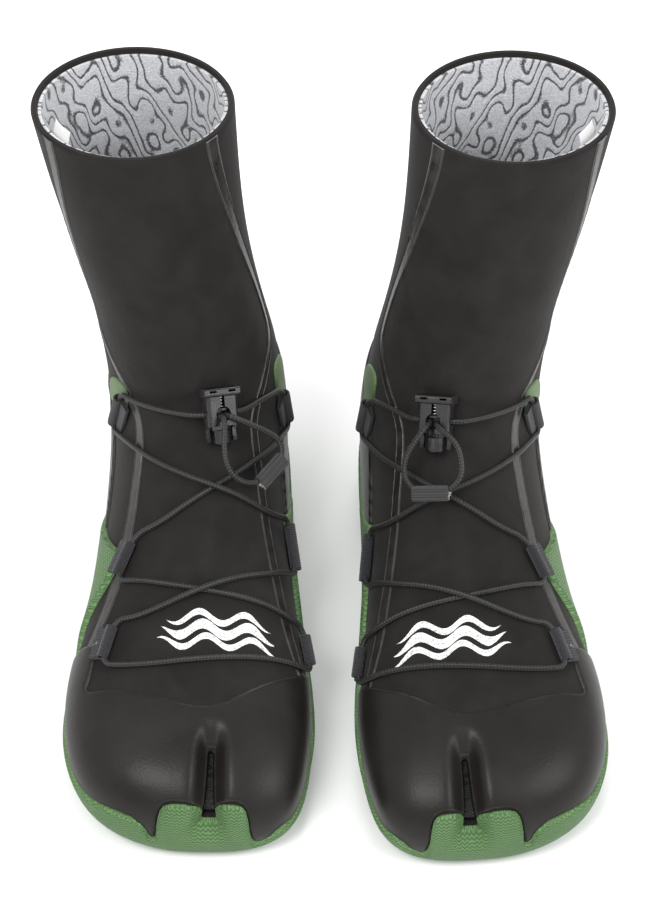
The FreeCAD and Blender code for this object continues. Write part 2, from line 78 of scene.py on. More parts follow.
SECTIONS = [
    (-145.5, 19.0, -145.5, 19.0, 0.0, 12.0, 0.50, 2.2, 2.6, 0.0),
    (-144.0, 29.0, -143.8, 10.0, 20.0, 10.5, 0.46, 2.2, 2.8, 0.0),
    (-138.5, 37.0, -138.0, 6.2, 35.0, 8.0, 0.42, 2.3, 3.2, 0.0),
    (-127.0, 44.0, -126.0, 5.2, 46.0, 4.0, 0.40, 2.4, 3.8, 1.0),
    (-108.5, 50.0, -106.5, 5.0, 52.5, 1.0, 0.38, 2.4, 4.2, 2.5),
    (-86.0, 55.5, -84.0, 5.0, 55.0, 0.0, 0.36, 2.3, 4.5, 3.5),
    (-60.0, 63.0, -57.0, 5.0, 53.5, 0.0, 0.34, 2.2, 4.5, 4.5),
    (-33.0, 74.0, -24.0, 5.0, 48.0, 1.0, 0.34, 2.1, 4.5, 5.0),
    (-8.0, 88.0, 21.0, 5.0, 44.0, 1.0, 0.36, 2.0, 4.2, 4.5),
    (11.0, 101.0, 72.0, 5.0, 42.5, 1.0, 0.38, 2.0, 3.8, 3.5),
    (23.0, 112.0, 116.0, 6.0, 42.0, 0.5, 0.42, 2.0, 3.2, 2.5),
    (29.5, 122.0, 134.0, 24.0, 42.0, 0.0, 0.50, 2.0, 2.6, 2.0),
    (33.5, 132.0, 136.5, 50.0, 41.5, -1.2, 0.55, 2.0, 2.3, 1.0),
    (36.5, 143.0, 131.0, 78.0, 41.0, -2.9, 0.56, 2.0, 2.2, 0.5),
    (39.0, 156.0, 124.5, 104.0, 40.0, -5.6, 0.54, 2.0, 2.2, 0.0),
    (41.5, 172.0, 121.5, 132.0, 40.0, -9.9, 0.52, 2.0, 2.1, 0.0),
    (44.0, 191.0, 122.5, 163.0, 41.0, -14.8, 0.50, 2.0, 2.0, 0.0),
    (46.0, 214.0, 125.5, 200.0, 43.0, -19.2, 0.50, 2.0, 2.0, 0.0),
    (47.5, 242.5, 130.0, 243.5, 45.5, -23.0, 0.50, 2.0, 2.0, 0.0),
]
CUFF = len(SECTIONS) - 1
SECTION_AT_CUFF = 29.0
SOLE_ROUND = 20.0
SOLE_DROP = 4.5

# ---- outlines, in boot coordinates ----
# Seen from the side, as (y, z).
SEAM = [(64, 275), (64, 254), (63, 227), (69, 180), (72, 134), (60, 116), (46, 104), (28, 92), (8, 78),
        (-17, 65), (-37, 56), (-57, 48), (-78, 36), (-96, 14), (-100, -8)]
SOLE_SIDE = [(-185, -8), (-185, 19), (-97, 19), (-70, 17), (60, 26), (95, 25), (120, 27), (160, 30),
             (160, -8)]
OUTER_WING = [(-56, 10), (-41, 34), (-35, 49), (-29, 59), (-19, 66), (-7, 59), (8, 50), (34, 34), (64, 20)]
INNER_WING = [(-44, 10), (-24, 30), (-5, 41), (6.5, 52), (14, 55), (24, 46), (46, 32), (66, 20)]
HEEL_CAP = [(2, 20), (13, 50), (28, 58), (46, 66), (64, 70), (84, 78), (106, 95), (130, 108), (160, 112),
            (160, 10)]
OUTER_TAB = [(45, 107), (57, 106), (67, 92), (64, 76), (54, 72), (45, 86)]
INNER_TAB = [(60, 107), (73, 105), (86, 92), (90, 76), (76, 66), (62, 82)]
LABEL_SIDE = [(60, 224), (72, 224), (72, 246), (60, 246)]
# Seen from above, as (x, y): the toe cap, with an arm up each side of the foot.
CAP_TOP = [(-80, -165), (80, -165), (80, -60), (57, -60), (51, -77), (30, -90), (13, -102), (-10, -97),
           (-33, -89), (-47, -86), (-44, -77), (-42, -62), (-54, -56), (-80, -56)]
# Seen from the front, as (x, z): the toe cap's lower edge, which runs down in two points.
DRIPS = [(-80, 17), (-50, 19), (-34, 25), (-20, 25), (-13.5, 10), (-12, 27), (-10, 34), (-5, 36), (3, 36),
         (7, 33), (9.5, 23.4), (12.5, 23.4), (15, 33), (19, 36), (26, 35), (29, 31), (30, 14), (33, 7),
         (37, 10), (43, 17), (52, 14), (80, 13), (80, 60), (-80, 60)]
CLEFT = [(7.6, 23.4), (14.4, 23.4), (13.8, 60), (12.2, 60)]
CLEFT_BACK = -118.0

# ---- webbing loops: both ends of the cord's line through each, as (section, turn in degrees) ----
LOOPS = {
    "loop_outer_top": ((11.02, 140), (9.88, 155)),
    "loop_inner_top": ((11.10, 21), (10.05, 8)),
    "loop_outer_mid": ((7.56, 128), (6.92, 137)),
    "loop_inner_mid": ((8.20, 21.5), (7.40, 13.5)),
    "loop_outer_low": ((6.16, 130), (5.40, 134)),
    "loop_inner_low": ((6.42, 21.5), (5.76, 13.5)),
}
LOOP_END = 3.4
LOOP_END_AT_SHARP_TURN = {"loop_outer_top": 5.0, "loop_inner_top": 5.4}

# ---- the lace: (section, turn, height above the skin), or a loop's name and the end it goes in at ----
LACE_OUTER = [(10.14, 98, 5.2), (10.26, 108, 3.4), (10.46, 120, 2.7), (10.72, 132, 2.8)]
LACE = [
    "loop_outer_top in",
    (9.58, 142, 2.8), (9.16, 128, 2.6), (8.75, 112, 2.9), (8.43, 96, 5.0), (8.24, 82, 5.6), (8.12, 68, 4.0),
    (8.02, 52, 2.7), (8.04, 36, 2.9),
    "loop_inner_mid in",
    (7.20, 34, 2.8), (6.95, 52, 2.7), (6.78, 68, 3.2), (6.60, 82, 5.4), (6.42, 95, 5.2), (6.26, 107, 3.0),
    (6.13, 119, 2.8),
    "loop_outer_low in",
    (5.27, 121, 2.8), (5.24, 108, 2.6), (5.29, 92, 2.6), (5.35, 76, 2.6), (5.42, 60, 2.6), (5.50, 44, 2.7),
    (5.58, 29, 3.0),
    "loop_inner_low out",
    (6.38, 37, 2.8), (6.41, 51, 2.6), (6.44, 65, 2.5), (6.48, 79, 2.5), (6.54, 93, 2.5), (6.64, 107, 2.6),
    (6.78, 121, 2.8),
    "loop_outer_mid out",
    (7.66, 113, 2.8), (7.92, 99, 2.5), (8.20, 85, 2.4), (8.52, 70, 2.5), (8.92, 54, 2.6), (9.32, 38, 2.8),
    (9.68, 26, 3.0),
    "loop_inner_top out",
]
LACE_INNER = [(10.86, 38, 2.8), (10.62, 50, 3.2), (10.40, 60, 5.4)]

# ---- the cord lock, in its own frame: across (inner side +), up the instep, away from the skin ----
LOCK_PLACE = (10.10, 78)
LOCK_LIFT = 1.2
BORE = (0.5, 6.2)
FACE = 10.6
# The tail cord and its pull tab, in a frame at the lock's face hole, leaned towards the inner side.
TAIL_LEAN = {"right": 12.0, "left": -4.0}
TAIL = {
    "right": [(-1.5, -0.8, -2.2), (-1.6, -0.9, 1.2), (-2.1, -2.8, 3.8), (-3.2, -7.4, 5.0), (-4.2, -14.0, 5.0),
              (-4.0, -21.0, 4.9), (-1.4, -27.4, 4.9), (4.0, -31.8, 4.9), (10.6, -33.4, 4.9),
              (17.6, -31.2, 4.9), (24.0, -26.4, 4.9), (27.6, -20.4, 4.9), (25.6, -14.4, 5.0),
              (19.6, -10.4, 5.2), (12.6, -6.8, 5.3), (6.4, -3.6, 4.9), (2.8, -1.6, 3.4), (1.6, -0.8, 0.6),
              (1.5, -0.7, -2.2)],
    "left": [(-1.5, -0.8, -2.2), (-1.7, -0.9, 1.0), (-3.8, -2.2, 3.6), (-8.2, -4.8, 5.0), (-13.0, -9.4, 5.2),
             (-15.2, -16.2, 5.1), (-15.6, -23.4, 4.9), (-11.6, -29.2, 4.9), (-5.0, -32.2, 4.9),
             (2.2, -32.8, 4.9), (8.6, -30.0, 4.9), (11.8, -24.0, 5.0), (11.2, -17.2, 5.1),
             (8.0, -10.8, 5.2), (4.6, -5.6, 5.0), (2.6, -2.2, 3.6), (1.6, -0.9, 0.8), (1.5, -0.7, -2.2)],
}
TAB_RUNS = {"right": (9, 10), "left": (8, 9)}
TAB = (17.0, 7.0, 4.4)


# ---- the boot's surface ----
def spline_bends(values):
    count = len(values)
    carry = [0.0] * count
    right = [0.0] * count
    for i in range(1, count - 1):
        scale = 4.0 - carry[i - 1]
        carry[i] = 1.0 / scale
        right[i] = (6.0 * (values[i - 1] - 2.0 * values[i] + values[i + 1]) - right[i - 1]) / scale
    bends = [0.0] * count
    for i in range(count - 2, 0, -1):
        bends[i] = right[i] - carry[i] * bends[i + 1]
    return bends


TABLE = np.array(SECTIONS)
BENDS = np.array([spline_bends(list(column)) for column in TABLE.T])


def section(t):
    t = np.asarray(t, float)
    i = np.clip(t.astype(int), 0, len(TABLE) - 2)
    u = t - i
    v = 1.0 - u
    out = []
    for k in range(TABLE.shape[1]):
        smooth = ((v**3 - v) * BENDS[k][i] + (u**3 - u) * BENDS[k][i + 1]) / 6.0
        out.append(TABLE[i, k] * v + TABLE[i + 1, k] * u + smooth)
    return out


def form(t, a):
    """Points of the neoprene's outer surface. a is in radians, 0 on the inner side and pi/2 on the crest."""
    ty, tz, by, bz, half, shift, share, square_top, square_low, crest = section(t)
    c, s = np.cos(a), np.sin(a)
    square = np.where(s >= 0, square_top, square_low)
    reach = (np.abs(c) ** square + np.abs(s) ** square) ** (-1.0 / square)
    part = np.where(s >= 0, 1.0 - share, share) * reach * s
    x = shift + half * reach * c + crest * np.maximum(s, 0.0) ** 2
    return np.stack([x, by + (ty - by) * (share + part), bz + (tz - bz) * (share + part)], -1)


def unit(v):
    return v / np.maximum(np.linalg.norm(v, axis=-1, keepdims=True), 1e-12)


def normal(t, a):
    t, a = np.broadcast_arrays(np.asarray(t, float), np.asarray(a, float))
    e = 0.004
    out = np.cross(form(t, a + e) - form(t, a - e), form(t + e, a) - form(t - e, a))
    ty, tz, by, bz = section(t)[:4]
    flat = unit(np.stack([np.zeros_like(t), -(tz - bz), ty - by], -1))
    late = (t >= CUFF - 1)[..., None]
    out = np.where(late, out - flat * (out * flat).sum(-1, keepdims=True), out)
    return unit(out) * OUTWARD


OUTWARD = 1.0
if normal(5.0, math.pi / 2)[2] < 0:
    OUTWARD = -1.0


def skin(t, degrees, height=0.0):
    a = np.radians(degrees)
    return form(t, a) + normal(t, a) * height


def place(points, side):
    """Local millimetres to metres in the pair."""
    p = np.array(points, float)
    if side == "right":
        p = p + np.array([RIGHT_SHIFT[0], RIGHT_SHIFT[1], 0.0])
    else:
        r = math.radians(LEFT_TURN)
        x, y = -p[..., 0], p[..., 1].copy()
        p = np.stack([x * math.cos(r) - y * math.sin(r) + LEFT_SHIFT[0],
                      x * math.sin(r) + y * math.cos(r) + LEFT_SHIFT[1], p[..., 2]], -1)
    return p / 1000.0


# ---- distances to outlines, positive inside ----
def inside_of(outline, u, v):
    """Signed distance to a closed outline."""
    poly = np.array(outline, float)
    best = np.full(u.shape, 1e9)
    odd = np.zeros(u.shape, bool)
    for (x0, y0), (x1, y1) in zip(poly, np.roll(poly, -1, axis=0)):
        dx, dy = x1 - x0, y1 - y0
        s = np.clip(((u - x0) * dx + (v - y0) * dy) / (dx * dx + dy * dy), 0, 1)
        best = np.minimum(best, np.hypot(u - x0 - s * dx, v - y0 - s * dy))
        if y0 != y1:
            crosses = ((y0 > v) != (y1 > v)) & (u < dx * (v - y0) / dy + x0)
            odd ^= crosses
    return np.where(odd, best, -best)


def rounded(outline, turns=2, closed=True):
    """An outline with its corners cut smooth, as poured rubber has them."""
    line = np.array(outline, float)
    for _ in range(turns):
        after = np.roll(line, -1, axis=0)
        a, b = line * 0.75 + after * 0.25, line * 0.25 + after * 0.75
        new = np.empty((2 * len(line), 2))
        new[0::2], new[1::2] = a, b
        if not closed:
            new = np.vstack([line[:1], new[1:-2], line[-1:]])
        line = new
    return line


ROUND_DRIPS = rounded(DRIPS, 1)
ROUND_CAP = rounded(CAP_TOP)
ROUND_OUTER_WING = rounded(OUTER_WING)
ROUND_INNER_WING = rounded(INNER_WING)
ROUND_HEEL = rounded(HEEL_CAP)
ROUND_OUTER_TAB = rounded(OUTER_TAB)
ROUND_INNER_TAB = rounded(INNER_TAB)
SEAM_LINE = rounded(SEAM, 3, closed=False)
FRONT_SIDE = [(-175, -8), (-175, 275)] + [tuple(p) for p in SEAM_LINE]


def sole_zone(p):
    x, y, z = p[..., 0], p[..., 1], p[..., 2]
    back = np.clip((y + 104.0) / 12.0, 0, 1)
    back = back * back * (3 - 2 * back)
    zone = inside_of(SOLE_SIDE, y, z) * back - inside_of(ROUND_DRIPS, x, z) * (1 - back)
    zone = np.maximum(zone, np.minimum(inside_of(ROUND_OUTER_WING, y, z), -8.0 - x))
    return np.maximum(zone, np.minimum(inside_of(ROUND_INNER_WING, y, z), x - 8.0))


def cleft_zone(p):
    return np.minimum(inside_of(CLEFT, p[..., 0], p[..., 2]), CLEFT_BACK - p[..., 1])


def cap_zone(p):
    return np.minimum(np.minimum(inside_of(ROUND_CAP, p[..., 0], p[..., 1]), 70.0 - p[..., 2]), -sole_zone(p))


def heel_zone(p):
    return np.minimum(inside_of(ROUND_HEEL, p[..., 1], p[..., 2]), -sole_zone(p))


def tab_zone(p, outer):
    zone = inside_of(ROUND_OUTER_TAB if outer else ROUND_INNER_TAB, p[..., 1], p[..., 2])
    zone = np.minimum(zone, (-8.0 - p[..., 0]) if outer else (p[..., 0] - 8.0))
    return np.minimum(zone, -heel_zone(p))


def front_zone(p):
    return inside_of(FRONT_SIDE, p[..., 1], p[..., 2])


# ---- relief that every layer shares ----
# Shallow folds of the neoprene: middle (section, degrees), length and width in mm, slope, depth.
FOLDS = [
    (10.9, 80, 42, 3.2, 0.10, -0.55), (10.45, 96, 30, 3.0, -0.2, -0.5), (9.2, 88, 48, 4.5, 0.06, -0.45),
    (8.6, 70, 34, 4.0, -0.3, -0.35), (11.9, 104, 36, 5.5, 0.2, -0.5), (12.6, 68, 34, 6.0, -0.15, -0.45),
    (10.7, 168, 30, 4.0, 0.6, -0.6), (11.2, 12, 30, 4.0, -0.6, -0.6), (11.6, 262, 44, 5.0, 0.0, -0.8),
    (12.3, 278, 40, 5.0, 0.1, -0.7), (13.4, 96, 46, 8.0, 0.25, -0.4), (15.2, 82, 52, 10.0, -0.2, -0.4),
    (16.3, 110, 40, 9.0, 0.3, -0.35), (7.2, 98, 44, 5.0, 0.1, -0.35),
]


def relief(p):
    x, y, z = p[..., 0], p[..., 1], p[..., 2]
    share = np.clip((z - CLEFT[0][1]) / (CLEFT[2][1] - CLEFT[0][1]), 0, 1)
    middle = 11.0 + 2.0 * share
    half = 3.4 - 2.6 * share
    away = np.maximum(np.abs(x - middle) - half, 0.0)
    reach = np.clip((-105.0 - y) / 17.0, 0, 1)
    reach = reach * reach * (3 - 2 * reach) * np.clip((z - 16.0) / 8.0, 0, 1)
    drop = -6.8 * np.exp(-((away / 4.0) ** 2)) * reach
    for middle_t, degrees, length, width, slope, depth in FOLDS:
        centre = skin(middle_t, degrees)
        out = normal(middle_t, math.radians(degrees))
        run = unit(np.cross([0.0, 0.0, 1.0], out) + np.array([0.0, 0.0, slope]))
        up = np.cross(out, run)
        d = p - centre
        along = (d * run).sum(-1)
        bent = (d * up).sum(-1) + 0.006 * along * along
        deep = np.exp(-((along / length * 2.0) ** 2)) * np.exp(-(((d * out).sum(-1) / 14.0) ** 2))
        swell = 0.5 * np.exp(-(((bent - width * 1.7) / width) ** 2))
        drop = drop + depth * deep * (np.exp(-((bent / width) ** 2)) - swell)
    return drop


# ---- meshes ----
def run_along(line):
    """Distance along a line at each of its points."""
    return np.concatenate([[0.0], np.cumsum(np.linalg.norm(np.diff(line, axis=0), axis=1))])


def quads(ids):
    """Faces over a grid of vertex numbers."""
    return np.stack([ids[:-1, :-1], ids[1:, :-1], ids[1:, 1:], ids[:-1, 1:]], -1).reshape(-1, 4).tolist()


def ring_ids(n, around):
    """Vertex numbers of n closed rings, the first column repeated at the end."""
    ids = np.arange(n * around).reshape(n, around)
    return np.concatenate([ids, ids[:, :1]], 1)


def rows(step, first=0.02, last=float(CUFF)):
    """Places along the boot about a step apart on its surface."""
    fine = np.linspace(first, last, 3000)
    ring = form(fine[:, None], np.linspace(0, 2 * math.pi, 24, endpoint=False)[None, :])
    d = np.linalg.norm(np.diff(ring, axis=0), axis=2)
    s = np.concatenate([[0.0], np.cumsum(0.6 * d.max(axis=1) + 0.4 * d.mean(axis=1))])
    count = int(s[-1] / step) + 1
    return np.interp(np.linspace(0, s[-1], count + 1), s, fine)


def grid(step, around, first=0.02, last=float(CUFF), low=0.0, high=360.0):
    t = rows(step, first, last)
    a = np.radians(np.linspace(low, high, around + 1))
    return np.stack(np.meshgrid(t, a, indexing="ij"), -1)


def clip(data, field, wrap):
    """The part of a grid where a field is positive, its edge following the field's zero line."""
    n, m = field.shape
    across = m - 1 if wrap else m
    ids = np.arange(n * across).reshape(n, across)
    if wrap:
        ids = np.concatenate([ids, ids[:, :1]], 1)
    good = field > 0
    corners = [good[:-1, :-1], good[1:, :-1], good[1:, 1:], good[:-1, 1:]]
    full = np.logical_and.reduce(corners)
    some = np.logical_or.reduce(corners) & ~full
    quads = np.stack([ids[:-1, :-1][full], ids[1:, :-1][full], ids[1:, 1:][full], ids[:-1, 1:][full]], 1)
    faces = quads.tolist()
    extra, made = [], {}
    for i, j in zip(*np.nonzero(some)):
        ring = [(i, j), (i + 1, j), (i + 1, j + 1), (i, j + 1)]
        face = []
        for q in range(4):
            p0, p1 = ring[q], ring[(q + 1) % 4]
            f0, f1 = field[p0], field[p1]
            if f0 > 0:
                face.append(int(ids[p0]))
            if (f0 > 0) != (f1 > 0):
                key = (min(ids[p0], ids[p1]), max(ids[p0], ids[p1]))
                if key not in made:
                    s = min(max(f0 / (f0 - f1), 0.04), 0.96)
                    made[key] = n * across + len(extra)
                    extra.append(data[p0] * (1 - s) + data[p1] * s)
                face.append(made[key])
        if len(face) >= 3:
            faces.append(face)
    every = data[:, :across].reshape(n * across, -1)
    if extra:
        every = np.vstack([every, np.array(extra)])
    used = np.unique(np.concatenate([np.array(f) for f in faces]))
    renumber = np.full(len(every), -1)
    renumber[used] = np.arange(len(used))
    return every[used], [renumber[f].tolist() for f in faces]


def border(faces):
    """Directed edges that only one face has."""
    a = np.array([f[k] for f in faces for k in range(len(f))])
    b = np.array([f[(k + 1) % len(f)] for f in faces for k in range(len(f))])
    key = np.minimum(a, b) * (max(a.max(), b.max()) + 1) + np.maximum(a, b)
    _, first, count = np.unique(key, return_index=True, return_counts=True)
    lone = first[count == 1]
    return list(zip(a[lone].tolist(), b[lone].tolist()))


def walls(faces, count, cap_rows=None):
    """Closes an outer sheet and an inner one with the same faces into one solid."""
    solid = [list(f) for f in faces] + [[v + count for v in reversed(f)] for f in faces]
    nose = []
    for a, b in border(faces):
        if cap_rows is not None and cap_rows[a] and cap_rows[b]:
            nose.append((a, b))
        else:
            solid.append([b, a, a + count, b + count])
    if nose:
        follow = dict(nose)
        loop = [nose[0][0]]
        while follow[loop[-1]] != loop[0]:
            loop.append(follow[loop[-1]])
        solid.append(loop[::-1])
        solid.append([v + count for v in loop])
    return solid


def mesh_object(name, points, faces, side, material, body, sharp=40.0, values=None, uv=None):
    """A mesh piece in its place in the pair. Points are local millimetres."""
    mesh = bpy.data.meshes.new(name)
    mesh.from_pydata(place(points, side).tolist(), [], faces)
    for label, array in (values or {}).items():
        mesh.attributes.new(label, "FLOAT", "POINT").data.foreach_set("value", np.asarray(array, np.float32))
    if uv is not None:
        layer = mesh.uv_layers.new(name="UVMap")
        index = np.zeros(len(mesh.loops), np.int32)
        mesh.loops.foreach_get("vertex_index", index)
        layer.data.foreach_set("uv", np.asarray(uv, np.float32)[index].ravel())
    work = bmesh.new()
    work.from_mesh(mesh)
    bmesh.ops.recalc_face_normals(work, faces=work.faces)
    work.to_mesh(mesh)
    work.free()
    mesh.shade_smooth()
    mesh.set_sharp_from_angle(angle=math.radians(sharp))
    mesh.materials.append(material)
    obj = bpy.data.objects.new(name, mesh)
    bpy.context.collection.objects.link(obj)
    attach(obj, body)
    return obj


def edge_round(d, radius):
    """0 at a rounded edge and 1 past its radius."""
    return np.sqrt(np.maximum(1.0 - (1.0 - np.clip(d / radius, 0, 1)) ** 2, 0.0))


def layer(name, side, data, field, wrap, top, low, material, slot, nose=False, change=None, uv=None,
          face=0.0):
    """A layer on the boot between two heights, each a function of the distance to its edge and of the point.
    Its outline is cut where its face stands, at a height above the surface."""

    def at_face(t, a):
        spot = form(t, a) + normal(t, a) * face
        return change(spot.reshape(-1, 3)).reshape(spot.shape) if change is not None else spot

    kept, faces = clip(data, field(at_face(data[..., 0], data[..., 1])), wrap)
    t, a = kept[:, 0], kept[:, 1]
    p, out = form(t, a), normal(t, a)
    d = np.maximum(field(at_face(t, a)), 0.0)
    lift = relief(p)
    outer = p + out * (lift + top(d, p, kept))[:, None]
    inner = p + out * (lift + low(d, p, kept))[:, None]
    if change is not None:
        outer = change(outer)
    points = np.vstack([outer, inner])
    solid = walls(faces, len(outer), (t <= t.min() + 1e-9) if nose else None)
    values = {"edge": np.concatenate([d, d])}
    if uv is not None:
        flat = uv(outer, kept)
        uv = np.vstack([flat, flat])
    return mesh_object(name, points, solid, side, material, side + "_boot", values=values, uv=uv)


def on_side(y, z, outer):
    """The surface parameters of points given in the side view, on the outer or the inner flank."""
    low, high = (91.0, 230.0) if outer else (-50.0, 89.0)
    t = np.linspace(0.3, CUFF, 220)
    a = np.radians(np.linspace(low, high, 110))
    tt, aa = np.meshgrid(t, a, indexing="ij")
    p = form(tt, aa)
    flat = np.stack([p[..., 1].ravel(), p[..., 2].ravel()], 1)
    want = np.stack([np.ravel(y), np.ravel(z)], 1)
    t0, a0 = np.empty(len(want)), np.empty(len(want))
    for k in range(0, len(want), 400):
        d = ((want[k:k + 400, None, :] - flat[None]) ** 2).sum(-1)
        best = d.argmin(1)
        t0[k:k + 400], a0[k:k + 400] = tt.ravel()[best], aa.ravel()[best]
    for _ in range(6):
        e = 1e-4
        here = form(t0, a0)[:, 1:]
        miss = want - here
        dt = (form(t0 + e, a0)[:, 1:] - here) / e
        da = (form(t0, a0 + e)[:, 1:] - here) / e
        det = dt[:, 0] * da[:, 1] - dt[:, 1] * da[:, 0]
        det = np.where(np.abs(det) < 1e-3, 1e9, det)
        t0 = t0 + np.clip((miss[:, 0] * da[:, 1] - miss[:, 1] * da[:, 0]) / det, -0.2, 0.2)
        a0 = a0 + np.clip((dt[:, 0] * miss[:, 1] - dt[:, 1] * miss[:, 0]) / det, -0.1, 0.1)
        t0 = np.clip(t0, 0.3, CUFF)
        a0 = np.clip(a0, math.radians(low - 5), math.radians(high + 5))
    return t0.reshape(np.shape(y)), a0.reshape(np.shape(y))


def strip_grid(line, half, columns, outer, step=1.3):
    """A grid of surface parameters along a side-view line, with the distances along and across it."""
    line = np.array(line, float)
    s = run_along(line)
    at = np.linspace(0, s[-1], int(s[-1] / step) + 1)
    y, z = np.interp(at, s, line[:, 0]), np.interp(at, s, line[:, 1])
    dy, dz = np.gradient(y), np.gradient(z)
    size = np.hypot(dy, dz)
    c = np.asarray(columns, float) * half
    yy = y[:, None] - (dz / size)[:, None] * c[None, :]
    zz = z[:, None] + (dy / size)[:, None] * c[None, :]
    t, a = on_side(yy, zz, outer)
    return np.stack([t, a, np.broadcast_to(at[:, None], t.shape), np.broadcast_to(c[None, :], t.shape)], -1)


# ---- materials ----
class Paint:
    """A node material, with short names for the nodes it is built from."""

    def __init__(self, name, **constants):
        self.material = bpy.data.materials.new(name)
        self.material.use_nodes = True
        self.tree = self.material.node_tree
        self.shader = self.tree.nodes["Principled BSDF"]
        for label, value in constants.items():
            self.shader.inputs[label.replace("_", " ")].default_value = value
        self.place = self.add("ShaderNodeTexCoord").outputs["Object"]

    def add(self, kind, **settings):
        node = self.tree.nodes.new(kind)
        for label, value in settings.items():
            setattr(node, label, value)
        return node

    def link(self, source, target):
        if isinstance(source, (int, float, tuple)):
            target.default_value = source
        else:
            self.tree.links.new(source, target)

    def noise(self, scale, detail=3.0, distortion=0.0):
        node = self.add("ShaderNodeTexNoise")
        node.inputs["Scale"].default_value = scale
        node.inputs["Detail"].default_value = detail
        node.inputs["Distortion"].default_value = distortion
        self.link(self.place, node.inputs["Vector"])
        return node.outputs["Fac"]

    def cells(self, scale):
        node = self.add("ShaderNodeTexVoronoi")
        node.inputs["Scale"].default_value = scale
        self.link(self.place, node.inputs["Vector"])
        return node.outputs["Distance"]

    def math(self, how, a, b=0.0, c=0.0):
        node = self.add("ShaderNodeMath", operation=how)
        for k, value in enumerate((a, b, c)):
            self.link(value, node.inputs[k])
        return node.outputs[0]

    def ramp(self, value, stops):
        node = self.add("ShaderNodeValToRGB")
        while len(node.color_ramp.elements) < len(stops):
            node.color_ramp.elements.new(0.5)
        for element, (at, colour) in zip(node.color_ramp.elements, stops):
            element.position = at
            element.color = (*colour, 1.0)
        self.link(value, node.inputs["Fac"])
        return node.outputs["Color"]

    def mix(self, share, a, b, blend="MIX"):
        node = self.add("ShaderNodeMix", data_type="RGBA", blend_type=blend)
        self.link(share, node.inputs[0])
        self.link(a if not isinstance(a, tuple) else (*a, 1.0), node.inputs[6])
        self.link(b if not isinstance(b, tuple) else (*b, 1.0), node.inputs[7])
        return node.outputs[2]

    def value(self, label):
        return self.add("ShaderNodeAttribute", attribute_name=label).outputs["Fac"]

    def uv(self):
        split = self.add("ShaderNodeSeparateXYZ")
        self.link(self.add("ShaderNodeTexCoord").outputs["UV"], split.inputs[0])
        return split.outputs[0], split.outputs[1]

    def axes(self):
        split = self.add("ShaderNodeSeparateXYZ")
        self.link(self.place, split.inputs[0])
        return split.outputs

    def wave(self, value, pitch):
        return self.math("SINE", self.math("MULTIPLY", value, 2 * math.pi / pitch))

    def half(self, value):
        return self.math("MULTIPLY_ADD", value, 0.5, 0.5)

    def rim(self, reach):
        return self.ramp(self.value("edge"), [(0.0, (1, 1, 1)), (reach, (0, 0, 0))])

    def bump(self, height, depth, strength=1.0):
        node = self.add("ShaderNodeBump")
        node.inputs["Strength"].default_value = strength
        node.inputs["Distance"].default_value = depth
        self.link(height, node.inputs["Height"])
        before = self.shader.inputs["Normal"].links
        if before:
            self.link(before[0].from_socket, node.inputs["Normal"])
        self.link(node.outputs[0], self.shader.inputs["Normal"])

    def colour(self, source):
        self.link(source, self.shader.inputs["Base Color"])

    def rough(self, source, low, high):
        node = self.add("ShaderNodeMapRange")
        node.inputs["To Min"].default_value = low
        node.inputs["To Max"].default_value = high
        self.link(source, node.inputs["Value"])
        self.link(node.outputs[0], self.shader.inputs["Roughness"])


def knit_material(name, dark, light):
    """Fine jersey faced on foam: small interlocked loops, with soft mottling and worn fuzz."""
    m = Paint(name, Sheen_Weight=0.06, Sheen_Roughness=0.45, Specular_IOR_Level=0.14)
    x, y, z = m.axes()
    rib = m.wave(m.math("ADD", x, y), 0.00095)
    course = m.wave(z, 0.0008)
    loops = m.math("MULTIPLY_ADD", m.math("MULTIPLY", rib, course), 0.16, m.noise(1700.0, 3.0))
    mottle = m.noise(55.0, 5.0, distortion=0.6)
    m.colour(m.mix(m.math("MULTIPLY", loops, 0.5), m.ramp(mottle, [(0.3, dark), (0.72, light)]), light))
    m.rough(mottle, 0.78, 0.92)
    m.bump(loops, 0.00022, 0.7)
    m.bump(m.noise(240.0, 4.0), 0.0005, 0.35)
    return m.material


def rubber_material(name, dark, light, rim):
    """Poured satin rubber with fine light dust specks, its colour lighter along its edges in patches."""
    m = Paint(name, Specular_IOR_Level=0.2)
    cloud = m.noise(34.0, 6.0, distortion=0.4)
    body = m.ramp(cloud, [(0.32, dark), (0.7, light)])
    # The colour turns lighter near the piece's edge, in patches.
    edge_lightening = m.math("MULTIPLY", m.rim(0.9), m.noise(420.0, 2.0))
    specks = m.ramp(m.cells(330.0), [(0.03, (1, 1, 1)), (0.09, (0, 0, 0))])
    m.colour(m.mix(m.math("MULTIPLY", specks, 0.16), m.mix(edge_lightening, body, rim), rim))
    m.rough(cloud, 0.30, 0.46)
    m.bump(m.noise(900.0, 3.0), 0.00016, 0.5)
    m.bump(m.noise(95.0, 3.0), 0.0006, 0.25)
    return m.material


def sole_material(name):
    """Green moulded rubber with rows of fine zigzag ribs, their troughs darkened with painted shade."""
    m = Paint(name, Specular_IOR_Level=0.35)
    along, up = m.uv()
    zigzag = m.math("PINGPONG", along, 0.0011)
    ribs = m.wave(m.math("ADD", up, m.math("MULTIPLY", zigzag, 0.85)), 0.0015)
    cloud = m.noise(40.0, 5.0)
    body = m.ramp(cloud, [(0.3, (0.095, 0.190, 0.070)), (0.72, (0.135, 0.250, 0.098))])
    # Painted shade: the ribs' troughs are darkened towards a deep green.
    painted_rib_shade = m.mix(m.half(ribs), (0.050, 0.110, 0.036), body)
    # The colour turns lighter near the sole's edge.
    edge_lightening = m.math("MULTIPLY", m.rim(0.8), 0.45)
    m.colour(m.mix(edge_lightening, painted_rib_shade, (0.19, 0.34, 0.14)))
    m.rough(cloud, 0.5, 0.66)
    m.bump(ribs, 0.0003, 0.9)
    m.bump(m.noise(700.0, 2.0), 0.00012, 0.4)
    return m.material


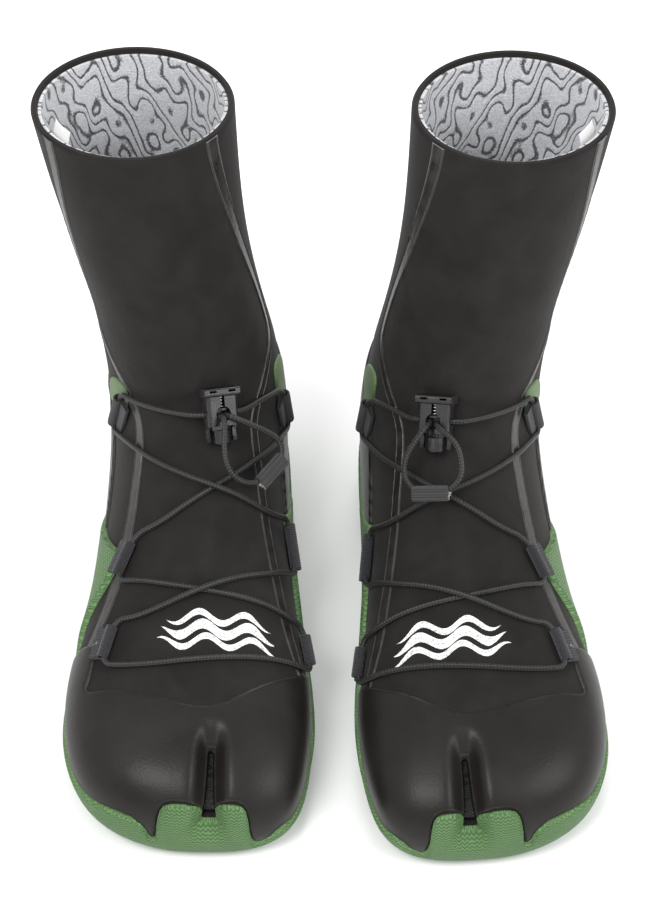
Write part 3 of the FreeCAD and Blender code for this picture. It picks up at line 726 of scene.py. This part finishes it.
def green_patch_material(name):
    m = Paint(name, Specular_IOR_Level=0.35)
    cloud = m.noise(120.0, 5.0)
    m.colour(m.ramp(cloud, [(0.3, (0.072, 0.125, 0.050)), (0.72, (0.120, 0.185, 0.082))]))
    m.rough(cloud, 0.52, 0.7)
    m.bump(m.noise(1100.0, 3.0), 0.0002, 0.6)
    return m.material


def plush_material(name):
    """Light grey pile with a printed black labyrinth, darkened with painted shade deeper inside the boot."""
    m = Paint(name, Sheen_Weight=0.35, Sheen_Roughness=0.5, Roughness=0.95, Specular_IOR_Level=0.15)
    along, up = m.uv()
    spot = m.add("ShaderNodeCombineXYZ")
    m.link(along, spot.inputs[0])
    m.link(up, spot.inputs[1])
    pile = m.noise(1500.0, 3.0)
    swirl = m.add("ShaderNodeTexWave", wave_type="BANDS", bands_direction="DIAGONAL")
    swirl.inputs["Scale"].default_value = 66.0
    swirl.inputs["Distortion"].default_value = 11.0
    swirl.inputs["Detail"].default_value = 0.0
    swirl.inputs["Detail Scale"].default_value = 1.6
    m.link(spot.outputs[0], swirl.inputs["Vector"])
    band_ = m.math("ADD", swirl.outputs["Fac"], m.math("MULTIPLY", m.math("SUBTRACT", pile, 0.5), 0.5))
    pale = m.ramp(pile, [(0.25, (0.36, 0.365, 0.385)), (0.75, (0.72, 0.725, 0.75))])
    maze = m.ramp(band_, [(0.04, (0.12, 0.12, 0.125)), (0.27, (1, 1, 1))])
    # Painted shade: the lining fades to near black below the cuff, deeper inside the shaft, where the shaft
    # shades it.
    depth = m.ramp(m.math("MULTIPLY_ADD", up, 28.0, -4.52), [(0.0, (0.03, 0.028, 0.026)), (1.0, (1, 1, 1))])
    m.colour(m.mix(1.0, m.mix(1.0, pale, maze, "MULTIPLY"), depth, "MULTIPLY"))
    m.bump(pile, 0.0007, 0.8)
    m.bump(band_, 0.0005, 0.5)
    return m.material


def tape_material(name):
    m = Paint(name, Specular_IOR_Level=0.4)
    cloud = m.noise(160.0, 4.0)
    m.colour(m.ramp(cloud, [(0.3, (0.013, 0.0118, 0.0108)), (0.75, (0.032, 0.029, 0.027))]))
    m.rough(cloud, 0.2, 0.42)
    m.bump(m.noise(500.0, 3.0), 0.0003, 0.5)
    return m.material


def webbing_material(name, dark, light):
    """Ribbed narrow webbing: picks across the strip and fine warp ends along it."""
    m = Paint(name, Sheen_Weight=0.2, Specular_IOR_Level=0.35)
    along, across = m.uv()
    weave = m.math("ADD", m.wave(along, 0.00085), m.math("MULTIPLY", m.wave(across, 0.0006), 0.45))
    m.colour(m.mix(m.math("MULTIPLY_ADD", weave, 0.34, 0.5), dark, light))
    m.rough(m.noise(600.0, 2.0), 0.55, 0.8)
    m.bump(weave, 0.0002, 0.8)
    return m.material


def braid_material(name, pale):
    """Braided sheath: crossing helical carriers, the raised yarns lighter with painted highlight and the
    hollows between them darker with painted shade.
    """
    m = Paint(name, Specular_IOR_Level=0.38)
    along, around = m.uv()
    turns, carriers = m.math("MULTIPLY", along, 1.0 / 0.0030), m.math("MULTIPLY", around, 4.0)
    left, right = m.math("ADD", turns, carriers), m.math("SUBTRACT", turns, carriers)
    cross = m.math("MULTIPLY", m.wave(left, 1.0), m.wave(right, 1.0))
    # Painted highlight: colour runs from near black between the yarns to the pale colour on the raised
    # crossings.
    m.colour(m.mix(m.half(cross), (0.0055, 0.0052, 0.0052), pale))
    m.rough(m.noise(800.0, 2.0), 0.38, 0.6)
    m.bump(cross, 0.0002, 0.7)
    return m.material


def plastic_material(name):
    m = Paint(name, Specular_IOR_Level=0.5)
    cloud = m.noise(220.0, 4.0)
    scuff = m.noise(60.0, 6.0, distortion=2.0)
    scuffed = m.ramp(scuff, [(0.55, (0, 0, 0)), (0.8, (1, 1, 1))])
    m.colour(m.mix(scuffed, (0.0070, 0.0068, 0.0070), (0.026, 0.025, 0.026)))
    m.rough(cloud, 0.22, 0.36)
    m.bump(m.noise(1400.0, 3.0), 0.00012, 0.6)
    return m.material


def steel_material(name):
    m = Paint(name, Metallic=1.0, Base_Color=(0.62, 0.62, 0.63, 1.0))
    m.rough(m.noise(900.0, 2.0), 0.2, 0.38)
    m.bump(m.noise(2500.0, 2.0), 0.00005, 0.5)
    return m.material


def cloth_material(name, dark, light, pitch):
    """A plain woven cloth."""
    m = Paint(name, Roughness=0.85, Specular_IOR_Level=0.2)
    x, y, z = m.axes()
    weave = m.math("MULTIPLY", m.wave(m.math("ADD", x, y), pitch), m.wave(z, pitch))
    m.colour(m.mix(m.half(weave), dark, light))
    m.bump(weave, pitch * 0.2, 0.6)
    return m.material


def ink_material(name):
    """White screen print, thin enough that the knit shows through it."""
    m = Paint(name, Roughness=0.7, Specular_IOR_Level=0.25)
    worn = m.noise(1300.0, 3.0)
    m.colour(m.ramp(worn, [(0.36, (0.34, 0.34, 0.34)), (0.5, (0.74, 0.74, 0.73))]))
    m.bump(worn, 0.0001, 0.6)
    return m.material


def floor_material():
    m = Paint("pale_floor", Roughness=0.8, Specular_IOR_Level=0.1)
    m.colour(m.ramp(m.noise(3.0, 2.0), [(0.3, (0.90, 0.90, 0.90)), (0.7, (0.92, 0.92, 0.92))]))
    return m.material


KNIT = knit_material("neoprene_knit", (0.0085, 0.0076, 0.0072), (0.0190, 0.0168, 0.0160))
# Painted shade: a near-black copy of the neoprene knit, for the web deep in the toe cleft.
PAINTED_SHADE_KNIT = knit_material("cleft_knit_painted_shade", (0.0015, 0.0015, 0.0015), (0.003, 0.003, 0.003))
BLACK_RUBBER = rubber_material("black_rubber", (0.0085, 0.0074, 0.0066), (0.0150, 0.0130, 0.0116),
                               (0.070, 0.065, 0.058))
GREEN_SOLE = sole_material("green_sole_rubber")
GREEN_PATCH = green_patch_material("green_patch_rubber")
PLUSH = plush_material("plush_lining")
FOAM = cloth_material("insole_cloth", (0.010, 0.010, 0.011), (0.030, 0.030, 0.032), 0.0012)
TAPE = tape_material("liquid_tape")
STRAP = webbing_material("loop_webbing", (0.0030, 0.0030, 0.0045), (0.021, 0.020, 0.028))
TAB_WEB = webbing_material("tab_webbing", (0.006, 0.006, 0.0062), (0.050, 0.049, 0.048))
# The pale colour is the painted highlight on the braid's raised yarns.
BRAID = braid_material("braided_cord", (0.032, 0.031, 0.030))
PLASTIC = plastic_material("lock_acetal")
STEEL = steel_material("spring_wire")
LABEL_CLOTH = cloth_material("label_satin", (0.70, 0.70, 0.69), (0.90, 0.90, 0.89), 0.0007)
THREAD = cloth_material("pale_thread", (0.32, 0.31, 0.29), (0.62, 0.61, 0.58), 0.0004)
INK = ink_material("white_print")


# ---- pieces that follow the boot's surface ----
def flat_height(height):
    return lambda d, p, kept: np.full(len(d), float(height))


def rim_distance(kept):
    """Distance below the cuff's cut edge."""
    return np.maximum(CUFF - kept[:, 0], 0.0) * SECTION_AT_CUFF


def make_sock(side):
    boot = grid(1.5, 216)
    made = {}

    def skin_top(d, p, kept):
        seam = edge_round(d, 0.9)
        cuff = edge_round(rim_distance(kept), 1.3)
        return -0.25 + 0.25 * seam - 0.9 * (1.0 - cuff)

    def skin_low(d, p, kept):
        cuff = edge_round(rim_distance(kept), 0.8)
        return -NEOPRENE + 0.5 * (1.0 - cuff)

    made["front_panel"] = layer(side + "_front_knit", side, boot,
                                lambda p: np.minimum(front_zone(p), -cleft_zone(p)),
                                True, skin_top, skin_low, KNIT, "neoprene")
    made["rear_panel"] = layer(side + "_rear_knit", side, boot, lambda p: -front_zone(p),
                               True, skin_top, skin_low, KNIT, "neoprene", nose=True)

    inner = grid(2.2, 140, first=0.5, last=CUFF - 0.05)

    def lining_uv(p, kept):
        return np.stack([kept[:, 1] * 0.046, (kept[:, 0] - 10.0) * 0.029], 1)

    def lining_top(d, p, kept):
        return -NEOPRENE - BOND + 0.0 * d

    def lining_low(d, p, kept):
        cuff = edge_round(rim_distance(kept), 1.2)
        return -NEOPRENE - BOND - 0.5 - (LINING - 0.5) * cuff

    made["lining"] = layer(side + "_plush_lining", side, inner, lambda p: np.full(p.shape[:-1], 50.0),
                           True, lining_top, lining_low, PLUSH, "plush_lining", nose=True, uv=lining_uv)
    return made


def sole_path():
    """A line round the foot from the heel, and each point's distance from the toe, signed by the side."""
    t = rows(2.0, 0.05, 12.0)
    inner, other = skin(t, 350.0)[:, :2], skin(t, 190.0)[:, :2]
    back = [inner[-1] + (other[-1] - inner[-1]) * share for share in np.linspace(0.5, 0.04, 12)]
    far = [other[-1] + (inner[-1] - other[-1]) * share for share in np.linspace(0.04, 0.5, 12)]
    path = np.vstack([back, inner[::-1], other, far])
    run = run_along(path)
    toe = run[len(back) + len(inner)]
    return path, np.where(run < toe, (run - toe) * (run[-1] - toe) / toe, run - toe)


SOLE_PATH, SOLE_RUN = sole_path()
BATCH = 4000


def sole_uv(outer, kept):
    """Distance from the toe round either side and height, in metres, for the sidewall's rows of ribs."""
    along = np.empty(len(outer))
    for k in range(0, len(outer), BATCH):
        part = outer[k:k + BATCH, :2]
        near = ((part[:, None] - SOLE_PATH[None]) ** 2).sum(-1).argmin(1)
        step = SOLE_PATH[np.minimum(near + 1, len(SOLE_PATH) - 1)] - SOLE_PATH[np.maximum(near - 1, 0)]
        step /= np.maximum(np.linalg.norm(step, axis=1, keepdims=True), 1e-9)
        along[k:k + BATCH] = SOLE_RUN[near] + ((part - SOLE_PATH[near]) * step).sum(1)
    return np.stack([np.abs(along) / 1000.0, outer[:, 2] / 1000.0], 1)


def sole_drop(outer):
    """Lets the sole's edge down on to the ground, more the lower it is."""
    z = outer[:, 2]
    low = np.maximum(SOLE_ROUND - z, 0.0) / SOLE_ROUND
    outer[:, 2] = np.maximum(z - SOLE_DROP * low * low, 0.0)
    return outer


def raised(foot, thickness, radius):
    """A face at a thickness, rounded down to a lower foot at its edge."""
    return lambda d, p, kept: foot + (thickness - foot) * edge_round(d, radius)


def make_rubber(side):
    bond = flat_height(BOND)

    def poured(name, data, field, wrap, top, thickness, material, slot, **more):
        return layer(side + name, side, data, field, wrap, top, bond, material, slot, face=thickness, **more)

    made = {}
    foot = grid(1.15, 300, last=12.6)
    made["outsole"] = poured("_sole_and_bumper", foot,
                             lambda p: np.minimum(sole_zone(p), -cleft_zone(p)), True,
                             raised(0.7, SOLE_WALL, 1.7), SOLE_WALL, GREEN_SOLE, "green_rubber",
                             nose=True, change=sole_drop, uv=sole_uv)
    toe = grid(0.9, 330, last=7.5, low=-60.0, high=240.0)
    made["toe_cap"] = poured("_toe_cap_rubber", toe, lambda p: np.minimum(cap_zone(p), -cleft_zone(p)), False,
                             raised(0.35, RUBBER_CAP, 1.5), RUBBER_CAP, BLACK_RUBBER, "black_rubber")
    heel = grid(1.1, 300, first=6.0, last=14.5)
    made["heel_cap"] = poured("_heel_cap_rubber", heel, heel_zone, True,
                              raised(0.35, RUBBER_CAP, 1.5), RUBBER_CAP, BLACK_RUBBER, "black_rubber")
    # The web inside the toe cleft takes the near-black knit: painted shade for the deep slot.
    web = grid(0.6, 420, last=4.0, low=30.0, high=130.0)
    made["toe_divider"] = layer(side + "_toe_web", side, web,
                                lambda p: np.minimum(cleft_zone(p) + 0.5, p[..., 2] - 21.0), False,
                                lambda d, p, kept: -1.9 - 0.9 * np.clip(d, 0, 2.5), flat_height(-5.2),
                                PAINTED_SHADE_KNIT, "neoprene")
    for which, last, low, high in (("outer", 12.4, 110.0, 215.0), ("inner", 12.6, -40.0, 70.0)):
        flank = grid(0.55, 330, first=8.6, last=last, low=low, high=high)
        made[which + "_top_tab"] = poured("_" + which + "_tab_patch", flank,
                                          lambda p: tab_zone(p, which == "outer"), False,
                                          raised(0.45, PATCH, 1.2), PATCH, GREEN_PATCH, "green_rubber")
    return made


TAPE_COLUMNS = [-1.0, -0.94, -0.86, -0.8, -0.76, -0.72, -0.66, -0.58, -0.4, -0.15, 0.15, 0.4, 0.58, 0.66,
                0.72, 0.76, 0.8, 0.86, 0.94, 1.0]


def free_of_rubber(p):
    zone = np.maximum(sole_zone(p), cap_zone(p))
    return -np.maximum(zone, np.maximum(heel_zone(p), np.maximum(tab_zone(p, True), tab_zone(p, False))))


def make_tapes(side):
    """Both seam tapes as one piece: a flat strip with a raised glue line along each edge."""
    parts = []
    for outer in (True, False):
        data = strip_grid(SEAM_LINE, TAPE_HALF, TAPE_COLUMNS, outer, step=1.2)
        field = free_of_rubber(form(data[..., 0], data[..., 1]))
        field = np.minimum(field, (CUFF - 0.02 - data[..., 0]) * SECTION_AT_CUFF)
        kept, faces = clip(data, field, False)
        t, a, s, c = kept.T
        p, out = form(t, a), normal(t, a)
        side_c = np.abs(c) / TAPE_HALF
        wobble = 0.25 * np.sin(s * 0.9) + 0.2 * np.sin(s * 2.3 + 1.0)
        bead = 0.34 * np.exp(-(((side_c - 0.76) / 0.055) ** 2)) * (0.85 + wobble * 0.4)
        top = 0.16 + (SEAM_TAPE - 0.3) * edge_round((1.0 - side_c) * TAPE_HALF, 0.6) + bead
        lift = relief(p)
        outer_p = p + out * (lift + top)[:, None]
        inner_p = p + out * (lift + 0.02)[:, None]
        parts.append((np.vstack([outer_p, inner_p]), walls(faces, len(outer_p)), s))
    points = np.vstack([q[0] for q in parts])
    solid = parts[0][1] + [[v + len(parts[0][0]) for v in f] for f in parts[1][1]]
    return mesh_object(side + "_sealed_seams", points, solid, side, TAPE, side + "_boot", 50.0)


def make_label(side):
    data = grid(0.8, 160, first=15.5, low=120.0, high=170.0)
    zone = lambda p: np.minimum(inside_of(LABEL_SIDE, p[..., 1], p[..., 2]), -20.0 - p[..., 0])
    deep = -NEOPRENE - LINING - 2 * BOND
    lean = lambda p: 5.0 * np.clip((p[:, 2] - 229.0) / 14.0, 0, 1) ** 1.5
    return layer(side + "_blank_label", side, data, zone, False, lambda d, p, kept: deep - lean(p),
                 lambda d, p, kept: deep - LABEL - lean(p), LABEL_CLOTH, "label_cloth")


def make_insole(side):
    """A foam foot bed: its underside follows the lining, its top is gently dished."""
    t = rows(3.0, 1.3, 11.3)
    w = np.linspace(-1, 1, 25)
    deep = -NEOPRENE - LINING - 2 * BOND
    tt, ww = np.meshgrid(t, w, indexing="ij")
    low = skin(tt, 270.0 + 62.0 * ww, deep)
    high = low.copy()
    dish = INSOLE_TOP - 1.6 * (1 - ww**2) ** 2 + 0.8 * np.sin(tt * 0.8) ** 2 * ww**2
    high[..., 2] = np.maximum(dish, low[..., 2] + 0.8)
    solid = walls(quads(np.arange(tt.size).reshape(tt.shape)), tt.size)
    points = np.vstack([high.reshape(-1, 3), low.reshape(-1, 3)])
    return mesh_object(side + "_foot_bed", points, solid, side, FOAM, side + "_boot")


def make_print(side):
    """A plain band of three wave crests, screen printed across the vamp."""
    data = grid(0.42, 520, first=5.1, last=6.4, low=36.0, high=112.0)

    def wave(p):
        x = p[..., 0] - 14.0
        y = -(p[..., 1] + 63.5)
        field = np.full(x.shape, -9.0)
        for k, (width, rise) in enumerate(((1.5, -5.6), (2.3, 0.0), (1.5, 5.6))):
            crest = 2.6 * np.sin(x * 2 * math.pi / 21.0 + 0.5 * k)
            taper = np.clip((28.0 - np.abs(x) - 2.0 * k) / 9.0, 0, 1)
            field = np.maximum(field, width * taper - np.abs(y - crest + rise))
        return np.minimum(field, 29.0 - np.abs(x))

    return layer(side + "_wave_print", side, data, wave, False, flat_height(0.16), flat_height(0.01), INK,
                 "label_cloth")


# ---- cords ----
BRAID_LAY = 0.0060


def loop_line(name):
    first, last = LOOPS[name]
    return skin(first[0], first[1], LOOP_LIFT), skin(last[0], last[1], LOOP_LIFT)


def lock_frame():
    t, degrees = LOCK_PLACE
    a = math.radians(degrees)
    away = normal(t, a)
    up = skin(t + 0.2, degrees) - skin(t - 0.2, degrees)
    up = unit(up - away * (up @ away))
    return skin(t, degrees, LOCK_LIFT), np.cross(up, away), away


def lock_point(across, up, away):
    origin, side, out = lock_frame()
    return origin + side * across + np.cross(out, side) * up + out * away


def lace_points():
    points = [lock_point(-2.0, BORE[0], BORE[1]), lock_point(-10.5, BORE[0], BORE[1])]
    points += [skin(*spot) for spot in LACE_OUTER]
    for stop in LACE:
        if isinstance(stop, str):
            name, way = stop.split()
            ends = loop_line(name)
            points += list(ends[::-1] if way == "out" else ends)
        else:
            points.append(skin(*stop))
    points += [skin(*spot) for spot in LACE_INNER]
    return points + [lock_point(10.5, BORE[0], BORE[1]), lock_point(2.0, BORE[0], BORE[1])]


def tail_frame(side):
    lean = math.radians(TAIL_LEAN[side])
    _, across, out = lock_frame()
    return (lock_point(0, BORE[0], FACE), across * math.cos(lean) - out * math.sin(lean),
            out * math.cos(lean) + across * math.sin(lean))


def tail_points(side):
    origin, across, away = tail_frame(side)
    up = np.cross(away, across)
    return [origin + across * a + up * b + away * c for a, b, c in TAIL[side]]


def make_cord(name, points, side, body):
    """One open spline for the cord's rubber core, and a braided sheath that follows points read from it."""
    curve = bpy.data.curves.new(name, "CURVE")
    curve.dimensions = "3D"
    curve.resolution_u = 12
    spline = curve.splines.new("NURBS")
    spots = place(points, side)
    spline.points.add(len(spots) - 1)
    for point, spot in zip(spline.points, spots):
        point.co = (*spot, 1.0)
    spline.order_u = 3
    spline.use_endpoint_u = True
    obj = bpy.data.objects.new(name, curve)
    bpy.context.collection.objects.link(obj)
    bpy.context.view_layer.update()
    read = obj.to_mesh()
    line = np.array([v.co for v in read.vertices])
    obj.to_mesh_clear()
    curve.bevel_depth = CORD / 2000.0 * 0.93
    curve.bevel_resolution = 5
    curve.use_fill_caps = True
    curve.materials.append(BRAID)
    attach(obj, body)

    gap = np.linalg.norm(np.diff(line, axis=0), axis=1)
    line = line[np.concatenate([[True], gap > 1e-7])]
    run = run_along(line)
    at = np.linspace(0, run[-1], int(run[-1] / 0.00045) + 1)
    path = np.stack([np.interp(at, run, line[:, k]) for k in range(3)], 1)
    tangent = unit(np.gradient(path, axis=0))
    side_v = np.empty_like(path)
    side_v[0] = unit(np.cross(tangent[0], [0.3, 0.2, 0.9]))
    for k in range(1, len(path)):
        v = side_v[k - 1] - tangent[k] * (side_v[k - 1] @ tangent[k])
        side_v[k] = v / np.linalg.norm(v)
    other = np.cross(tangent, side_v)
    around = 20
    turn = np.linspace(0, 2 * math.pi, around, endpoint=False)
    lay = at[:, None] * 2 * math.pi / BRAID_LAY
    weave = np.abs(np.sin(4 * turn[None, :] + lay) * np.sin(4 * turn[None, :] - lay))
    radius = CORD / 2000.0 * (0.95 + 0.06 * weave)
    points_m = (path[:, None] + radius[..., None] * (np.cos(turn)[None, :, None] * side_v[:, None]
                + np.sin(turn)[None, :, None] * other[:, None])).reshape(-1, 3)
    n = len(path)
    faces = quads(ring_ids(n, around))
    faces += [list(range(around)), list(range((n - 1) * around, n * around))[::-1]]
    mesh = bpy.data.meshes.new(name + "_sheath")
    mesh.from_pydata(points_m.tolist(), [], faces)
    layer_uv = mesh.uv_layers.new(name="UVMap")
    index = np.zeros(len(mesh.loops), np.int32)
    mesh.loops.foreach_get("vertex_index", index)
    flat = np.stack([np.repeat(at, around), np.tile(turn / (2 * math.pi), n)], 1)
    layer_uv.data.foreach_set("uv", flat.astype(np.float32)[index].ravel())
    mesh.shade_smooth()
    mesh.materials.append(BRAID)
    sheath = bpy.data.objects.new(name + "_sheath", mesh)
    bpy.context.collection.objects.link(sheath)
    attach(sheath, body)
    return obj, sheath, float(run[-1]), spots


# ---- webbing ----
def make_loop(side, name):
    """Webbing folded round the cord and sewn down behind it, ribbed across the strip."""
    first, last = LOOPS[name]
    start, end = loop_line(name)
    length = np.linalg.norm(end - start) - 2 * LOOP_END_AT_SHARP_TURN.get(name, LOOP_END)
    along = unit(end - start)
    a = math.radians((first[1] + last[1]) / 2)
    away = normal((first[0] + last[0]) / 2, a)
    away = unit(away - along * (away @ along))
    crest = 1.0 if first[1] > 90 else -1.0
    back = np.cross(away, along) * crest
    if back[2] > 0:
        back = -back
    middle = (start + end) / 2
    inner, outer = LOOP_BORE / 2, LOOP_BORE / 2 + WEBBING
    arc = [(-math.cos(math.radians(q)), math.sin(math.radians(q))) for q in np.linspace(-90, 180 - 8, 30)]
    out_line = [(outer * u, outer * v) for u, v in arc]
    floor_h = -outer
    tail = [(LOOP_TAIL, floor_h + 1.9), (LOOP_TAIL + 0.35, floor_h + 1.0), (LOOP_TAIL, floor_h + 0.12)]
    out_line += [(outer * 0.93, 0.2 * -outer), (outer + 0.6, floor_h + 2.1)] + tail
    in_line = [(inner * math.cos(q), inner * math.sin(q))
               for q in np.linspace(0, 2 * math.pi, 30, endpoint=False)]
    n = max(int(length / 0.28), 8)
    s = np.linspace(-length / 2, length / 2, n + 1)
    rib = 0.085 * np.cos(s * 2 * math.pi / 0.85)
    frame3 = np.stack([back, away, along])
    rings = []
    for k, run in enumerate(s):
        shrink = 0.10 * (1 - min(1.0, min(k, n - k) / 2.0))
        ring = []
        for u, v in out_line:
            size = math.hypot(u, v)
            swell = rib[k] - shrink
            ring.append((u + u / size * swell, v + (v / size * swell if v > floor_h + 0.2 else 0), run))
        rings.append(ring + [(u, v, run) for u, v in in_line])
    points = middle + np.array(rings).reshape(-1, 3) @ frame3
    po, pi = len(out_line), len(in_line)
    per = po + pi
    faces = []
    for k in range(n):
        for q in range(po):
            r = (q + 1) % po
            faces.append([k * per + q, (k + 1) * per + q, (k + 1) * per + r, k * per + r])
        for q in range(pi):
            r = (q + 1) % pi
            faces.append([k * per + po + q, k * per + po + r, (k + 1) * per + po + r, (k + 1) * per + po + q])
    angle_o = [math.atan2(v, u) for u, v in out_line]
    angle_i = [math.atan2(v, u) for u, v in in_line]
    pairs = [min(range(pi), key=lambda j: abs(math.remainder(angle_i[j] - angle, 2 * math.pi)))
             for angle in angle_o]
    for k in (0, n):
        outer_ids = [k * per + q for q in range(po)]
        inner_ids = [k * per + po + q for q in range(pi)]
        for q in range(po):
            r = (q + 1) % po
            i0, i1 = pairs[q], pairs[r]
            steps = math.remainder((i1 - i0) / pi * 2 * math.pi, 2 * math.pi) / (2 * math.pi) * pi
            count = int(round(steps))
            chain = [inner_ids[(i0 + (j if count >= 0 else -j)) % pi] for j in range(abs(count) + 1)]
            face = [outer_ids[q]] + chain + [outer_ids[r]]
            if len(set(face)) >= 3:
                faces.append(list(dict.fromkeys(face)))
    run_u = np.repeat(s / 1000.0, per)
    rim = np.concatenate([np.cumsum([0] + [math.dist(out_line[q], out_line[q + 1]) for q in range(po - 1)]),
                          np.linspace(0, 2 * math.pi * inner, pi)])
    uv = np.stack([run_u, np.tile(rim / 1000.0, n + 1)], 1)
    return mesh_object(side + "_" + name + "_webbing", points, faces, side, STRAP, side + "_boot",
                       50.0, uv=uv)


def make_tab(side, points):
    """A folded strip of webbing sewn round the tail cord, ribbed along its length, raw at its ends."""
    first, last = TAB_RUNS[side]
    away = tail_frame(side)[2]
    along = unit(points[last] - points[first])
    middle = (points[first] + points[last]) / 2
    up = np.cross(away, along)
    up = unit(up - along * (up @ along))
    out = np.cross(along, up)
    length, width, thick = TAB
    n, m = 48, 72
    s = np.linspace(-length / 2, length / 2, n + 1)
    turn = np.linspace(0, 2 * math.pi, m, endpoint=False)
    cu, cv = np.cos(turn), np.sin(turn)
    reach = (np.abs(cu) ** 5 + np.abs(cv) ** 5) ** (-1 / 5)
    u, v = width / 2 * reach * cu, thick / 2 * reach * cv
    rib = 0.13 * np.cos(u * 2 * math.pi / 0.78) * (np.abs(cv) > 0.45)
    rings = []
    for k, run in enumerate(s):
        near = min(k, n - k) / n * length
        close = 1.0 - 0.10 * (1 - min(1.0, near / 0.8))
        sag = 0.16 * math.sin(run * 0.9) + 0.05 * math.sin(run * 2.9)
        pick = 0.03 * math.cos(run * 2 * math.pi / 0.6)
        high = (v + np.sign(v) * (rib + pick)) * close + sag * 0.4
        rings.append(np.stack([u * close, high, np.full(m, run)], 1))
    local = np.array(rings).reshape(-1, 3)
    p = middle + local @ np.stack([up, out, along])
    faces = quads(ring_ids(n + 1, m))
    faces += [list(range(m)), list(range(n * m, (n + 1) * m))[::-1]]
    uv = np.stack([np.tile(u / 1000.0 * 0.7, n + 1), np.repeat(s / 1000.0, m)], 1)
    tab = mesh_object(side + "_ribbed_pull_tab", p, faces, side, TAB_WEB, side + "_tail",
                      50.0, uv=uv)
    frays = thread_tufts(side + "_tab_fray", side, middle - along * length / 2, -along, up, out,
                         9, 2.6, 3.0, side + "_tail", seed=5)
    return tab, frays


def thread_tufts(name, side, centre, away, across, out, count, spread, reach, body, seed):
    """A few loose thread ends as thin bent tubes, in one mesh."""
    rng = np.random.default_rng(seed)
    points, faces = [], []
    for _ in range(count):
        root = centre + across * rng.uniform(-spread, spread) * 0.5 + out * rng.uniform(-0.8, 1.2)
        lead = unit(away + across * rng.uniform(-0.9, 0.9) + out * rng.uniform(-0.1, 0.7))
        curl = unit(across * rng.uniform(-1, 1) + out * rng.uniform(-0.6, 0.6) - away * 0.4)
        size = reach * rng.uniform(0.45, 1.0)
        thick = rng.uniform(0.09, 0.15)
        n, m = 9, 6
        base = len(points)
        for k in range(n):
            q = k / (n - 1)
            spot = root + lead * size * q + curl * size * 0.6 * q * q
            tangent = unit(lead + curl * 1.2 * q)
            a = unit(np.cross(tangent, [0.31, 0.22, 0.92]))
            b = np.cross(tangent, a)
            for j in range(m):
                w = 2 * math.pi * j / m
                points.append(spot + (a * math.cos(w) + b * math.sin(w)) * thick * (1 - 0.5 * q))
        for k in range(n - 1):
            for j in range(m):
                r = (j + 1) % m
                low, high = base + k * m, base + (k + 1) * m
                faces.append([low + j, high + j, high + r, low + r])
        faces.append([base + j for j in range(m)])
        faces.append([base + (n - 1) * m + j for j in range(m)][::-1])
    return mesh_object(name, np.array(points), faces, side, THREAD, body, 60.0)


# ---- both boots ----
def make_boot(side):
    prefix = side + "_"
    for node, obj in {**make_sock(side), **make_rubber(side)}.items():
        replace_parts(obj, prefix + node)
    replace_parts(make_tapes(side), prefix + "seam_tapes")
    label = make_label(side)
    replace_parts(label, prefix + "care_label")
    foot_bed = make_insole(side)
    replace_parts(foot_bed, prefix + "insole")
    make_print(side)
    for name in LOOPS:
        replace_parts(make_loop(side, name), prefix + name)
    lace = make_cord(prefix + "lace_core", lace_points(), side, side + "_boot")[0]
    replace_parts(lace, prefix + "lace")
    tail = tail_points(side)
    core, cover, length, spots = make_cord(prefix + "tail_core", tail, side, side + "_tail")
    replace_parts(core, prefix + "tail_cord")
    tab, frays = make_tab(side, tail)
    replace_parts(tab, prefix + "pull_tab")
    low_loop = skin(5.85, 136.0, 2.2)
    down = unit(skin(5.5, 136.0) - skin(5.9, 136.0))
    away = normal(5.85, math.radians(136.0))
    thread_tufts(prefix + "loop_fray", side, low_loop, down, unit(np.cross(away, down)), away, 7, 4.0, 2.6,
                 side + "_boot", seed=11)
    for node, material in (("cord_lock_body", PLASTIC), ("cord_lock_plunger", PLASTIC),
                           ("cord_lock_spring", STEEL)):
        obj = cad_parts[prefix + node]
        obj.data.materials.clear()
        obj.data.materials.append(material)


for boot_side in ("right", "left"):
    make_boot(boot_side)


# ---- the studio ----
def area_light(name, spot, target, size, power, colour=(1.0, 1.0, 1.0)):
    data = bpy.data.lights.new(name, "AREA")
    data.shape = "DISK"
    data.size = size
    data.energy = power
    data.color = colour
    obj = bpy.data.objects.new(name, data)
    obj.location = spot
    obj.rotation_euler = (Vector(target) - Vector(spot)).to_track_quat("-Z", "Y").to_euler()
    bpy.context.collection.objects.link(obj)


floor_mesh = bpy.data.meshes.new("studio_floor")
floor_corners = [(-6, -6, -0.0004), (6, -6, -0.0004), (6, 6, -0.0004), (-6, 6, -0.0004)]
floor_mesh.from_pydata(floor_corners, [], [(0, 1, 2, 3)])
floor_mesh.materials.append(floor_material())
floor = bpy.data.objects.new("studio_floor", floor_mesh)
bpy.context.collection.objects.link(floor)

world = bpy.data.worlds.new("studio")
world.use_nodes = True
world.node_tree.nodes["Background"].inputs[0].default_value = (1.0, 1.0, 1.0, 1.0)
world.node_tree.nodes["Background"].inputs[1].default_value = 1.0
bpy.context.scene.world = world
bpy.context.scene.view_settings.view_transform = "Standard"
area_light("key", (-0.55, -0.75, 1.35), (0, 0, 0.1), 0.7, 14.0)
area_light("fill", (1.0, -0.5, 0.9), (0, 0, 0.1), 0.8, 8.0)
area_light("back", (0.1, 1.1, 1.1), (0, 0, 0.15), 0.7, 9.0)

camera_data = bpy.data.cameras.new("camera")
camera_data.lens = 100.1
camera_data.sensor_width = 36.0
camera_data.clip_end = 20.0
camera = bpy.data.objects.new("camera", camera_data)
camera.location = (0.00116, -0.8015, 0.9284)
looking_at = Vector((0.00116, 0.00738, 0.111))
camera.rotation_euler = (looking_at - camera.location).to_track_quat("-Z", "Y").to_euler()
bpy.context.collection.objects.link(camera)
bpy.context.scene.camera = camera

bpy.context.view_layer.update()
